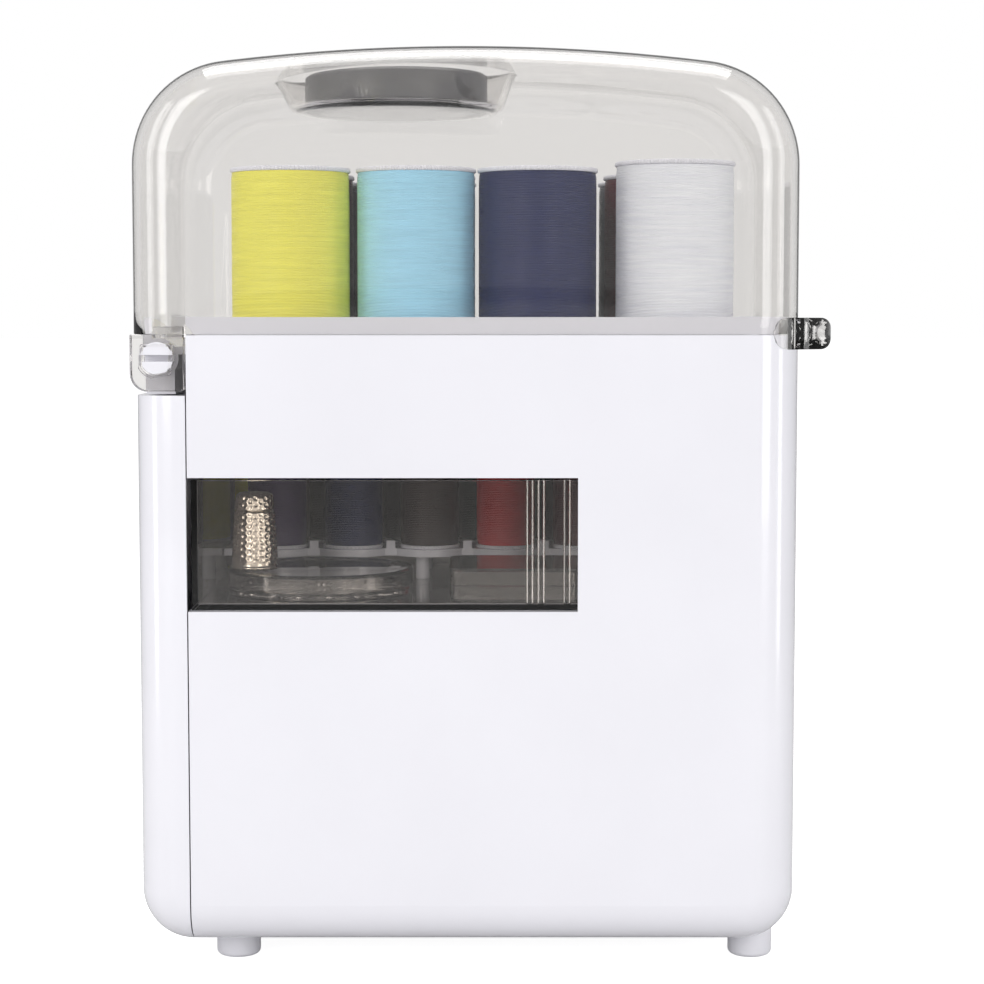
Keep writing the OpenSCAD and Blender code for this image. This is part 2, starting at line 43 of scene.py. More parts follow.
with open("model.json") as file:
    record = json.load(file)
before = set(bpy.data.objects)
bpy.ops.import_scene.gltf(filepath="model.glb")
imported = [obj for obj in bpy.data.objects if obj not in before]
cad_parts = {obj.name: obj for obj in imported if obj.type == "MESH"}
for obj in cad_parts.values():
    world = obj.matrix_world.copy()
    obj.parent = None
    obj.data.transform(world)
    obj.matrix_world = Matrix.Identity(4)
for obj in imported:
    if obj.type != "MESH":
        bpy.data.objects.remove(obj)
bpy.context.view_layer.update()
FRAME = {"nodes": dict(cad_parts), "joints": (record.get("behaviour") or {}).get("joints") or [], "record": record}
RECORD = FRAME["record"]
BODY_OF = {node: body for body, nodes in RECORD["behaviour"]["bodies"].items() for node in nodes}
MM = 0.001
# Points nearer than this are one point
WELD = 1e-6
# Distance by which the white walls stay inside the CAD box
SKIN = 0.02 * MM
# Window: its length from the seam and its height
WINDOW_LENGTH = 119.9 * MM
WINDOW_HEIGHT = 41.3 * MM
BIG_THREADS = ["yellow", "light_blue", "navy", "white", "maroon", "maroon", "black", "dark_red",
               "black", "green", "black", "grey"]
SMALL_THREADS = ["purple", "navy", "brown", "red", "maroon", "yellow", "black", "black", "green", "black"]


def length_prop(name, text, millimetres):
    """A length setting with its default in millimetres."""
    return FloatProperty(name=name, description=text, default=millimetres * MM, unit="LENGTH", precision=5)


def color_prop(name, text, red, green, blue):
    """A colour setting, its default written as it looks on a screen, from 0 to 255."""
    return FloatVectorProperty(name=name, description=text, default=screen_color(red, green, blue),
                               subtype="COLOR", min=0.0, max=1.0)


def screen_color(red, green, blue):
    """The linear colour of a screen colour: the sRGB curve of each part."""
    parts = np.array([red, green, blue]) / 255
    return tuple(np.where(parts <= 0.04045, parts / 12.92, ((parts + 0.055) / 1.055) ** 2.4).tolist())


class SpoolBoxShellSizes(bpy.types.PropertyGroup):
    """Sizes of the moulded shells."""
    wall: length_prop("Wall", "Wall thickness of the housing and the end panel", 2.4)
    panel_share: FloatProperty(name="Panel share", description="Panel's thickness as a share of the wall's",
                               default=0.8, min=0.1, max=1)
    corner: length_prop("Corner", "Radius of the upright corners", 13)
    end: length_prop("End", "Radius of the lower corners seen from the window side", 16.5)
    foot_radius: length_prop("Foot radius", "Radius of a foot", 7)
    foot_height: length_prop("Foot height", "Height of a foot with the part under the curved floor", 9.6)
    foot_edge: length_prop("Foot edge", "Rounding of a foot's lower edge", 1.6)
    edge: length_prop("Edge", "Rounding of the shells' cut edges", 0.5)
    pull_width: length_prop("Pull width", "Width of the finger pull", 60)
    pull_height: length_prop("Pull height", "Height of the finger pull", 16)
    pull_depth: length_prop("Pull depth", "Depth of the finger pull", 8)
    pull_below: length_prop("Pull below rim", "Lower edge of the finger pull below the rim", 60)


class SpoolBoxLidSizes(bpy.types.PropertyGroup):
    """Sizes of the clear lid, its pocket, its hinge ears and its tab."""
    wall: length_prop("Wall", "Wall thickness of the lid", 2.2)
    shoulder: length_prop("Shoulder", "Radius of the shoulders", 32)
    crown: length_prop("Crown", "Radius of the crowned top", 620)
    brow: length_prop("Brow", "Radius of the long top edges", 11.5)
    pocket_mouth: length_prop("Pocket mouth", "Radius of the pocket at its mouth", 37.5)
    pocket_floor: length_prop("Pocket floor", "Radius of the pocket at its floor", 34)
    pocket_fillet: length_prop("Pocket fillet", "Rounding of the pocket's mouth and floor", 2.6)
    ear_boss: length_prop("Ear boss", "Radius of the boss round a hinge pin", 6.4)
    ear_bore: length_prop("Ear bore", "Radius of the hole for a hinge pin", 5.05)
    ear_corner: length_prop("Ear corner", "Rounding of an ear's lower corners", 5.5)
    ear_right: length_prop("Ear right", "From the pin to an ear's inner edge", 8.1)
    ear_front: length_prop("Ear front", "From the box's middle to an ear's outer face", 62.3)
    ear_back: length_prop("Ear back", "From the box's middle to an ear's inner face", 57.3)
    ear_boss_end: length_prop("Boss end", "From the box's middle to the end of an ear's boss", 63.8)
    ear_edge: length_prop("Ear edge", "Rounding of an ear's edges", 0.35)
    lug_down: length_prop("Lug below", "Reach of the lug over an ear below the lid's lower edge", 1)
    lug_up: length_prop("Lug above", "Height of the lug over an ear above the lid's lower edge", 2.5)
    tab_corner: length_prop("Tab corner", "Corner radius of the thumb tab seen from above", 19)


class SpoolBoxSpoolSizes(bpy.types.PropertyGroup):
    """Sizes of the spools and of their threads."""
    flange: length_prop("Flange", "Thickness of a large spool's flange", 1.4)
    barrel: length_prop("Barrel", "Radius of a large spool's barrel", 9)
    bore: length_prop("Bore", "Radius of a large spool's bore", 4.5)
    winding_in: length_prop("Winding inset", "Distance from the flange's edge to the winding", 0.3)
    pitch: length_prop("Pitch", "Distance between the turns that show on a large spool", 0.75)
    relief: length_prop("Relief", "Depth of the groove between two turns", 0.11)
    teeth: IntProperty(name="Teeth", description="Flutes round a large spool's flange", default=110, min=12)
    small_flange: length_prop("Small flange", "Thickness of a small spool's flange", 1)
    small_barrel: length_prop("Small barrel", "Radius of a small spool's barrel", 3.6)
    small_bore: length_prop("Small bore", "Radius of a small spool's bore", 2.1)
    small_pitch: length_prop("Small pitch", "Distance between the turns on a small spool", 0.6)
    small_relief: FloatProperty(name="Small relief", description="A small groove as a share of Relief",
                                default=0.7)
    small_winding_in: length_prop("Small winding inset", "From a small flange's edge to the winding", 0.2)


class SpoolBoxColors(bpy.types.PropertyGroup):
    """Colours of the finishes."""
    white: color_prop("White", "Glossy housing", 234, 233, 239)
    clear: color_prop("Clear", "Tint of the lid at each face", 251, 250, 249)
    smoke: color_prop("Smoke", "Tint of the tray and the cases at each face", 236, 232, 228)
    puck: color_prop("Puck", "Dark grey puck", 74, 74, 76)
    steel: color_prop("Steel", "Pins and screws", 205, 205, 208)
    nickel: color_prop("Nickel", "Thimble", 214, 205, 192)
    magnet: color_prop("Magnet", "Ferrite ring", 58, 56, 56)
    yellow: color_prop("Yellow thread", "Thread", 248, 241, 104)
    light_blue: color_prop("Light blue thread", "Thread", 172, 226, 250)
    navy: color_prop("Navy thread", "Thread", 12, 24, 74)
    white_thread: color_prop("White thread", "Thread", 246, 247, 254)
    dark_red: color_prop("Dark red thread", "Thread", 96, 18, 36)
    maroon: color_prop("Maroon thread", "Thread", 74, 24, 34)
    black: color_prop("Black thread", "Thread", 24, 22, 27)
    green: color_prop("Green thread", "Thread", 18, 60, 44)
    grey: color_prop("Grey thread", "Thread", 110, 110, 116)
    purple: color_prop("Purple thread", "Thread", 60, 38, 84)
    brown: color_prop("Brown thread", "Thread", 50, 36, 32)
    red: color_prop("Red thread", "Thread", 196, 26, 30)


class SpoolBoxStageSettings(bpy.types.PropertyGroup):
    """Camera and light of the stage."""
    lens: FloatProperty(name="Lens", description="Focal length in millimetres", default=83.8, min=10)
    tilt: FloatProperty(name="Tilt", description="Downward tilt of the camera", default=math.radians(4.4),
                        subtype="ANGLE")
    distance: length_prop("Distance", "From the camera to the window-side face", 700)
    above_rim: length_prop("Above rim", "Height of the camera above the rim", 6)
    aside: length_prop("Aside", "Camera to the tab side of the box's middle", 8.1)
    front_light: FloatProperty(name="Front light", description="Power of each front softbox in watts",
                               default=6.8)
    side_light: FloatProperty(name="Side light", description="Power of each side strip in watts", default=1.2)
    top_light: FloatProperty(name="Top light", description="Power of the top softbox in watts", default=7)
    surround: FloatProperty(name="Surround", description="Level of the room's soft light", default=0.32)
    mirrored: FloatProperty(name="Mirrored", description="Share of the camera's white in reflections",
                            default=0.4)
    floor_glow: FloatProperty(name="Floor glow", description="Light that the floor adds for the camera",
                              default=0.9)


def settings(group):
    """One of the property groups of the scene."""
    return getattr(bpy.context.scene, "spool_box_" + group)


class Sheet:
    """Points and quads gathered from grids, which are welded into one mesh at the end."""

    def __init__(self):
        self.points = []
        self.quads = []
        self.count = 0

    def grid(self, surface, keep=None):
        """Adds a grid of points, rows by columns by three. keep marks the cells that become quads."""
        rows, columns = surface.shape[:2]
        index = np.arange(rows * columns).reshape(rows, columns) + self.count
        quads = np.stack([index[:-1, :-1], index[:-1, 1:], index[1:, 1:], index[1:, :-1]], -1)
        keep = np.ones(quads.shape[:2], bool) if keep is None else keep
        self.points.append(surface.reshape(-1, 3))
        self.quads.append(quads[keep])
        self.count += rows * columns
        return self

    def mesh(self, name, outward_from=None):
        """Welds the points into a mesh whose faces point outward.
        An open sheet is turned so that the summed volume of its faces over outward_from is positive."""
        mesh = bpy.data.meshes.new(name)
        mesh.from_pydata(np.concatenate(self.points), [], np.concatenate(self.quads))
        build = bmesh.new()
        build.from_mesh(mesh)
        bmesh.ops.remove_doubles(build, verts=build.verts, dist=WELD)
        bmesh.ops.dissolve_degenerate(build, edges=build.edges, dist=WELD)
        bmesh.ops.recalc_face_normals(build, faces=build.faces)
        if outward_from is not None:
            middle = Vector(outward_from)
            volume = sum(f.calc_area() * f.normal.dot(f.calc_center_median() - middle) for f in build.faces)
            if volume < 0:
                bmesh.ops.reverse_faces(build, faces=build.faces)
        build.to_mesh(mesh)
        build.free()
        return mesh


def cut(mesh, point, normal):
    """Removes the side of a mesh that a plane's normal points to."""
    build = bmesh.new()
    build.from_mesh(mesh)
    everything = build.verts[:] + build.edges[:] + build.faces[:]
    bmesh.ops.bisect_plane(build, geom=everything, dist=WELD, plane_co=point, plane_no=normal,
                           clear_outer=True)
    build.to_mesh(mesh)
    build.free()


def show(name, mesh, material, body, replaces=(), modifiers=(), sharp=40):
    """Makes a finished piece: its modifiers are worked in, and its faces are smooth up to a crease angle."""
    piece = bpy.data.objects.new(name, mesh)
    bpy.context.scene.collection.objects.link(piece)
    smooth(mesh, sharp)
    for kind, values in modifiers:
        modifier = piece.modifiers.new(kind, kind)
        for key, value in values.items():
            setattr(modifier, key, value)
    if modifiers:
        piece.modifiers.new("even", "WEIGHTED_NORMAL").keep_sharp = True
        graph = bpy.context.evaluated_depsgraph_get()
        finished = bpy.data.meshes.new_from_object(piece.evaluated_get(graph))
        piece.modifiers.clear()
        piece.data = finished
        finished.name = name
    piece.data.materials.clear()
    piece.data.materials.append(material)
    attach(piece, body)
    if replaces:
        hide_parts(*replaces)
    return piece


def smooth(mesh, angle):
    """Smooth faces with creases where they meet at more than an angle in degrees."""
    mesh.polygons.foreach_set("use_smooth", np.ones(len(mesh.polygons), bool))
    mesh.set_sharp_from_angle(angle=math.radians(angle))


def walls(thickness):
    """A sheet's thickness, laid on its inner side."""
    return ("SOLIDIFY", {"thickness": thickness, "offset": -1, "use_even_offset": True, "use_rim": True})


def edges(width, segments=2, angle=50):
    """Rounded edges where two faces meet at more than an angle in degrees."""
    return ("BEVEL", {"width": width, "segments": segments, "limit_method": "ANGLE",
                      "angle_limit": math.radians(angle)})


def node_size(node):
    """Lowest and highest corner of a CAD node as arrays."""
    low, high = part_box(node)
    return np.array(low), np.array(high)


def softened(node, name, material, width, angle=50):
    """A copy of a CAD node whose loose triangles are merged, flat faces joined and edges rounded."""
    mesh = FRAME["nodes"][node].data.copy()
    build = bmesh.new()
    build.from_mesh(mesh)
    bmesh.ops.remove_doubles(build, verts=build.verts, dist=WELD)
    bmesh.ops.dissolve_limit(build, angle_limit=math.radians(0.5), verts=build.verts, edges=build.edges)
    build.to_mesh(mesh)
    build.free()
    if "custom_normal" in mesh.attributes:
        mesh.attributes.remove(mesh.attributes["custom_normal"])
    return show(name, mesh, material, BODY_OF[node], [node], [edges(width, 2, angle)], 35)


def paint_node(node, material):
    """Gives a CAD node that stays as it is a material."""
    materials = FRAME["nodes"][node].data.materials
    materials.clear()
    materials.append(material)


class Finish:
    """A material made of a Principled shader and the noise that varies its colour, gloss and relief."""

    def __init__(self, name, color, roughness, sockets=None):
        self.material = bpy.data.materials.new(name)
        self.material.use_nodes = True
        self.tree = self.material.node_tree
        self.tree.nodes.clear()
        self.color = tuple(color)
        self.output = self.add("ShaderNodeOutputMaterial")
        self.shader = self.add("ShaderNodeBsdfPrincipled")
        self.place = self.add("ShaderNodeTexCoord").outputs["Object"]
        self.shader.inputs["Base Color"].default_value = (*self.color, 1)
        self.shader.inputs["Roughness"].default_value = roughness
        for key, value in (sockets or {}).items():
            self.shader.inputs[key].default_value = value
        self.join(self.shader.outputs[0], self.output.inputs["Surface"])

    def add(self, kind, **values):
        """A new node with its settings."""
        node = self.tree.nodes.new(kind)
        for key, value in values.items():
            setattr(node, key, value)
        return node

    def join(self, start, end):
        """A link between two sockets."""
        self.tree.links.new(start, end)

    def stretched(self, factors):
        """Object coordinates times a factor along each axis."""
        mapping = self.add("ShaderNodeMapping")
        mapping.inputs["Scale"].default_value = factors
        self.join(self.place, mapping.inputs["Vector"])
        return mapping.outputs[0]

    def noise(self, size, detail=2.0, factors=(1, 1, 1), roughness=0.5):
        """Noise whose lumps are about a size in metres, drawn out along an axis by factors below one."""
        node = self.add("ShaderNodeTexNoise")
        node.inputs["Scale"].default_value = 1 / size
        node.inputs["Detail"].default_value = detail
        node.inputs["Roughness"].default_value = roughness
        self.join(self.stretched(factors), node.inputs["Vector"])
        return node.outputs["Fac"]

    def ranged(self, value, low, high, start=0.3, end=0.7):
        """A value from start to end, spread over low to high."""
        node = self.add("ShaderNodeMapRange")
        for key, number in zip(("From Min", "From Max", "To Min", "To Max"), (start, end, low, high)):
            node.inputs[key].default_value = number
        self.join(value, node.inputs["Value"])
        return node.outputs["Result"]

    def vary_color(self, value, low, high):
        """Base colour times low to high, as a value goes from its dark to its light parts."""
        mix = self.add("ShaderNodeMix", data_type="RGBA")
        sockets = {socket.identifier: socket for socket in [*mix.inputs, *mix.outputs]}
        for name, factor in (("A_Color", low), ("B_Color", high)):
            shade = tuple(min(1.0, part * factor) for part in self.color)
            sockets[name].default_value = (*shade, 1)
        self.join(self.ranged(value, 0, 1), mix.inputs["Factor"])
        self.join(sockets["Result_Color"], self.shader.inputs["Base Color"])
        return self

    def vary_gloss(self, value, low, high):
        """Roughness from low to high."""
        self.join(self.ranged(value, low, high), self.shader.inputs["Roughness"])
        return self

    def relief(self, value, depth, strength=1.0):
        """Bumps of a depth in metres."""
        bump = self.add("ShaderNodeBump")
        bump.inputs["Strength"].default_value = strength
        bump.inputs["Distance"].default_value = depth
        self.join(value, bump.inputs["Height"])
        self.join(bump.outputs[0], self.shader.inputs["Normal"])
        return self

    def light_passes(self, tint, deepest=7):
        """Lets shadow and diffuse rays straight through, tinted, so that what is inside gets its light.
        So pass rays that have met more than the deepest number of faces, which would end in black."""
        rays = self.add("ShaderNodeLightPath")
        either = self.add("ShaderNodeMath", operation="MAXIMUM")
        any_of = self.add("ShaderNodeMath", operation="MAXIMUM")
        late = self.add("ShaderNodeMath", operation="GREATER_THAN")
        clear = self.add("ShaderNodeBsdfTransparent")
        mix = self.add("ShaderNodeMixShader")
        clear.inputs["Color"].default_value = (*tint, 1)
        late.inputs[1].default_value = deepest
        self.join(rays.outputs["Ray Depth"], late.inputs[0])
        self.join(rays.outputs["Is Shadow Ray"], either.inputs[0])
        self.join(rays.outputs["Is Diffuse Ray"], either.inputs[1])
        self.join(either.outputs[0], any_of.inputs[0])
        self.join(late.outputs[0], any_of.inputs[1])
        self.join(any_of.outputs[0], mix.inputs["Fac"])
        self.join(self.shader.outputs[0], mix.inputs[1])
        self.join(clear.outputs[0], mix.inputs[2])
        self.join(mix.outputs[0], self.output.inputs["Surface"])
        return self


def moulded(name, color, roughness, coat=0.0):
    """Moulded plastic: faint flow marks in its gloss and a very fine grain."""
    finish = Finish(name, color, roughness, {"Coat Weight": coat, "Coat Roughness": 0.06, "IOR": 1.5})
    finish.vary_gloss(finish.noise(0.02, 3, (1, 1, 0.35)), roughness * 0.8, roughness * 1.25)
    finish.vary_color(finish.noise(0.05, 2), 0.985, 1.01)
    return finish.relief(finish.noise(0.0011, 2), 0.000012, 0.5).material


def clear_plastic(name, tint, roughness, density, ior=1.49, shade=0.99):
    """Clear plastic with slow waves from moulding, which lets light through to what it covers.
    Inside, light falls off with the way through it: e to the minus density, per metre, times the way."""
    finish = Finish(name, tint, roughness, {"Transmission Weight": 1.0, "IOR": ior})
    body = finish.add("ShaderNodeVolumeAbsorption")
    body.inputs["Color"].default_value = (0.06, 0.03, 0.0, 1)
    body.inputs["Density"].default_value = density
    finish.join(body.outputs[0], finish.output.inputs["Volume"])
    finish.vary_gloss(finish.noise(0.012, 3), roughness * 0.5, roughness * 1.6)
    finish.vary_color(finish.noise(0.06, 1), 0.99, 1.0)
    finish.relief(finish.noise(0.02, 1, (1, 1, 0.5)), 0.00012, 0.35)
    return finish.light_passes((shade, shade, shade)).material


def thread(name, color):
    """Wound thread: fibres drawn out along the turns, a soft sheen, and turns that differ a little."""
    finish = Finish(name, color, 0.42, {"Sheen Weight": 0.05, "Sheen Roughness": 0.4,
                                         "Specular IOR Level": 0.3, "IOR": 1.45})
    finish.shader.inputs["Sheen Tint"].default_value = (*[0.6 + 0.4 * part for part in color], 1)
    finish.vary_color(finish.noise(0.0009, 3, (0.05, 0.05, 1)), 0.92, 1.05)
    finish.vary_gloss(finish.noise(0.003, 2, (0.2, 0.2, 1)), 0.34, 0.52)
    return finish.relief(finish.noise(0.0003, 3, (0.12, 0.12, 1)), 0.00006, 0.7).material


def metal(name, color, roughness, grain):
    """Bare metal with a polish that varies."""
    finish = Finish(name, color, roughness, {"Metallic": 1.0})
    finish.vary_gloss(finish.noise(grain, 3), roughness * 0.6, roughness * 1.5)
    finish.vary_color(finish.noise(grain * 3, 2), 0.86, 1.05)
    return finish.relief(finish.noise(grain * 0.3, 2), 0.00002, 0.4).material


def arc(centre, radius, start, end, count):
    """Points of a circle: centre plus radius times cosine and sine. Also the directions to the centre."""
    angles = np.linspace(start, end, count)
    outward = np.stack([np.cos(angles), np.sin(angles)], 1)
    return np.array(centre) + radius * outward, -outward


def line(points, inward):
    """Points of a straight run with the one direction inward."""
    points = np.array(points, float)
    return points, np.tile(np.array(inward, float), (len(points), 1))


def joined(runs):
    """Runs of points and inward directions end to end, without the points that repeat."""
    points = np.concatenate([runs[0][0]] + [run[0][1:] for run in runs[1:]])
    inward = np.concatenate([runs[0][1]] + [run[1][1:] for run in runs[1:]])
    return points, inward


def rolled(points, inward, fillet, half, across, steps=10):
    """An outline in X and Z carried over the depth, and rolled over at both ends by a quarter circle.
    At angle a of the quarter, a point lies inward by fillet (1 - cos a), and at half - fillet (1 - sin a)."""
    angles = np.linspace(math.pi / 2, 0, steps)
    fillet = fillet[:, None]
    roll_in = fillet * (1 - np.cos(angles))
    roll_y = half - fillet * (1 - np.sin(angles))
    flat = np.broadcast_to(across, (len(points), len(across)))
    y = np.concatenate([-roll_y, flat, roll_y[:, ::-1]], 1)
    shift = np.concatenate([roll_in, np.zeros(flat.shape), roll_in[:, ::-1]], 1)
    x = points[:, :1] + inward[:, :1] * shift
    z = points[:, 1:] + inward[:, 1:] * shift
    return np.stack([x, y, z], -1)


def between(first, last, steps=2):
    """Rows from one line of points to another."""
    share = np.linspace(0, 1, steps)[:, None, None]
    return first * (1 - share) + last * share


def revolve(profile, centre, segments, turn=0.0):
    """A profile of radius and height turned about an upright axis through centre."""
    angles = np.linspace(0, 2 * math.pi, segments + 1) + turn
    profile = np.array(profile)
    radius = profile[:, :1] if profile.ndim == 2 else profile[..., 0]
    height = profile[:, 1:] if profile.ndim == 2 else profile[..., 1]
    x = centre[0] + radius * np.cos(angles)
    y = centre[1] + radius * np.sin(angles)
    z = np.broadcast_to(centre[2] + height, x.shape)
    grid = np.stack([x, y, z], -1)
    grid[:, -1] = grid[:, 0]
    return grid


def rounded_path(corners, radii, steps=6):
    """A closed outline through corners in a plane, each one rounded by an arc of its radius."""
    corners = np.array(corners, float)
    path = []
    for before, corner, after, radius in zip(np.roll(corners, 1, 0), corners, np.roll(corners, -1, 0), radii):
        back = (before - corner) / np.linalg.norm(before - corner)
        ahead = (after - corner) / np.linalg.norm(after - corner)
        half = math.acos(np.clip(back @ ahead, -1, 1)) / 2
        centre = corner + (back + ahead) / np.linalg.norm(back + ahead) * radius / math.sin(half)
        start = math.atan2(*(corner + back * radius / math.tan(half) - centre)[::-1])
        end = math.atan2(*(corner + ahead * radius / math.tan(half) - centre)[::-1])
        end += 2 * math.pi * round((start - end) / (2 * math.pi))
        path.append(arc(centre, radius, start, end, steps)[0])
    return np.concatenate(path)


def tub(low, high, sizes, splits, window=None):
    """A tub's outer sheet: a U of two walls, two arcs and a floor, rolled over at the depth's ends.
    The flat faces at the ends are filled by level rows, with a window left open in the near one."""
    fillet, end = sizes.corner, sizes.end
    x0, x1, z0, z1 = low[0], high[0], low[2], high[2]
    half = high[1] - SKIN
    levels = np.unique(np.concatenate([np.linspace(z0 + end, z1, 7), splits["z"]]))
    floor = np.unique(np.concatenate([np.linspace(x0 + end, x1 - end, 9), splits["x"]]))
    left = line([(x0, z) for z in levels[::-1]], (1, 0))
    arc_steps = 14
    low_left = arc((x0 + end, z0 + end), end, math.pi, 1.5 * math.pi, arc_steps)
    bottom = line([(x, z0) for x in floor], (0, 1))
    low_right = arc((x1 - end, z0 + end), end, 1.5 * math.pi, 2 * math.pi, arc_steps)
    right = line([(x1, z) for z in levels], (-1, 0))
    points, inward = joined([left, low_left, bottom, low_right, right])
    across = np.unique(np.concatenate([np.linspace(fillet - half, half - fillet, 7)[1:-1], splits["y"]]))
    surface = rolled(points, inward, np.full(len(points), fillet), half, across)
    sheet = Sheet().grid(surface)
    first = len(levels) + arc_steps - 2
    last = first + len(floor)
    for side in (0, -1):
        edge = surface[:, side]
        starts, ends = edge[:first + 1][::-1], edge[last - 1:]
        columns = edge[first:last, 0]
        share = (columns - columns[0]) / (columns[-1] - columns[0])
        rows = starts[:, None] * (1 - share[:, None]) + ends[:, None] * share[:, None]
        if window is not None and side == 0:
            stop = int(np.argmin(abs(columns - window[1])))
            left_share = share[:stop + 1] / share[stop]
            edge_x = np.full(len(rows), window[1])
            rows[:, :stop + 1, 0] = starts[:, None, 0] * (1 - left_share) + edge_x[:, None] * left_share
            right_share = (share[stop:] - share[stop]) / (1 - share[stop])
            rows[:, stop:, 0] = edge_x[:, None] * (1 - right_share) + ends[:, None, 0] * right_share
            in_rows = (rows[:-1, 0, 2] >= window[2] - WELD) & (rows[1:, 0, 2] <= window[3] + WELD)
            open_cells = in_rows[:, None] & (np.arange(len(columns) - 1) < stop)
            sheet.grid(rows, ~open_cells)
        else:
            sheet.grid(rows)
    return sheet, surface


class SPOOLBOX_OT_housing(bpy.types.Operator):
    """White housing with its window, on four round feet"""
    bl_idname = "spoolbox.housing"
    bl_label = "Housing and feet"

    def execute(self, context):
        sizes = settings("shell")
        low, high = node_size("housing_shell")
        lid_low, _ = node_size("lid_shell")
        tray_low, _ = node_size("clear_tray")
        outer = low.copy()
        outer[0] = lid_low[0]
        window = (low[0], low[0] + WINDOW_LENGTH, tray_low[2], tray_low[2] + WINDOW_HEIGHT)
        splits = {"x": [window[1]], "y": [], "z": window[2:]}
        sheet, _ = tub(outer, high, sizes, splits, window)
        middle = (low + high) / 2
        mesh = sheet.mesh("housing", middle)
        cut(mesh, (low[0], 0, 0), (-1, 0, 0))
        show("white_housing", mesh, bpy.data.materials["glossy_white"], "housing",
             ["housing_shell"], [walls(sizes.wall), edges(sizes.edge, 3)])
        foot_low, foot_high = node_size("feet")
        foot, height, round_r = sizes.foot_radius, sizes.foot_height, sizes.foot_edge
        corner = arc((foot - round_r, round_r), round_r, -math.pi / 2, 0, 6)[0]
        profile = np.concatenate([[(0, 0)], corner, [(foot, height), (0, height)]])
        sheet = Sheet()
        for x in (foot_low[0] + foot, foot_high[0] - foot):
            for y in (foot_low[1] + foot, foot_high[1] - foot):
                sheet.grid(revolve(profile, (x, y, foot_low[2]), 48))
        show("four_feet", sheet.mesh("four_feet"), bpy.data.materials["foot_white"], "housing",
             ["feet"])
        return {"FINISHED"}


class SPOOLBOX_OT_panel(bpy.types.Operator):
    """End panel of the drawer, with the cup of a finger pull behind its outer wall"""
    bl_idname = "spoolbox.panel"
    bl_label = "End panel"

    def execute(self, context):
        sizes = settings("shell")
        low, high = node_size("end_panel")
        rim = node_size("housing_shell")[1][2]
        outer_high = high.copy()
        outer_high[0] = node_size("lid_shell")[1][0]
        pull_z = rim - sizes.pull_below
        pull = (-sizes.pull_width / 2, sizes.pull_width / 2, pull_z, pull_z + sizes.pull_height)
        splits = {"x": [], "y": pull[:2], "z": pull[2:]}
        sheet, surface = tub(low, outer_high, sizes, splits)
        ring = np.array([(low[0], pull[0], pull[2]), (low[0], pull[1], pull[2]), (low[0], pull[1], pull[3]),
                         (low[0], pull[0], pull[3]), (low[0], pull[0], pull[2])])
        deep = ring + (sizes.pull_depth, 0, 0)
        sheet.grid(np.stack([ring, deep]))
        sheet.grid(np.stack([deep[:2], deep[[3, 2]]]))
        top = surface[0]
        inner = top.copy()
        past_seam = 5 * MM
        inner[:, 0] = high[0] + past_seam
        sheet.grid(between(top, inner, 3))
        mesh = sheet.mesh("end_panel_shell", (low + high) / 2)
        cut(mesh, (high[0], 0, 0), (1, 0, 0))
        show("white_end_panel", mesh, bpy.data.materials["glossy_white"], "drawer",
             ["end_panel"], [walls(sizes.wall * sizes.panel_share), edges(sizes.edge, 3)])
        return {"FINISHED"}


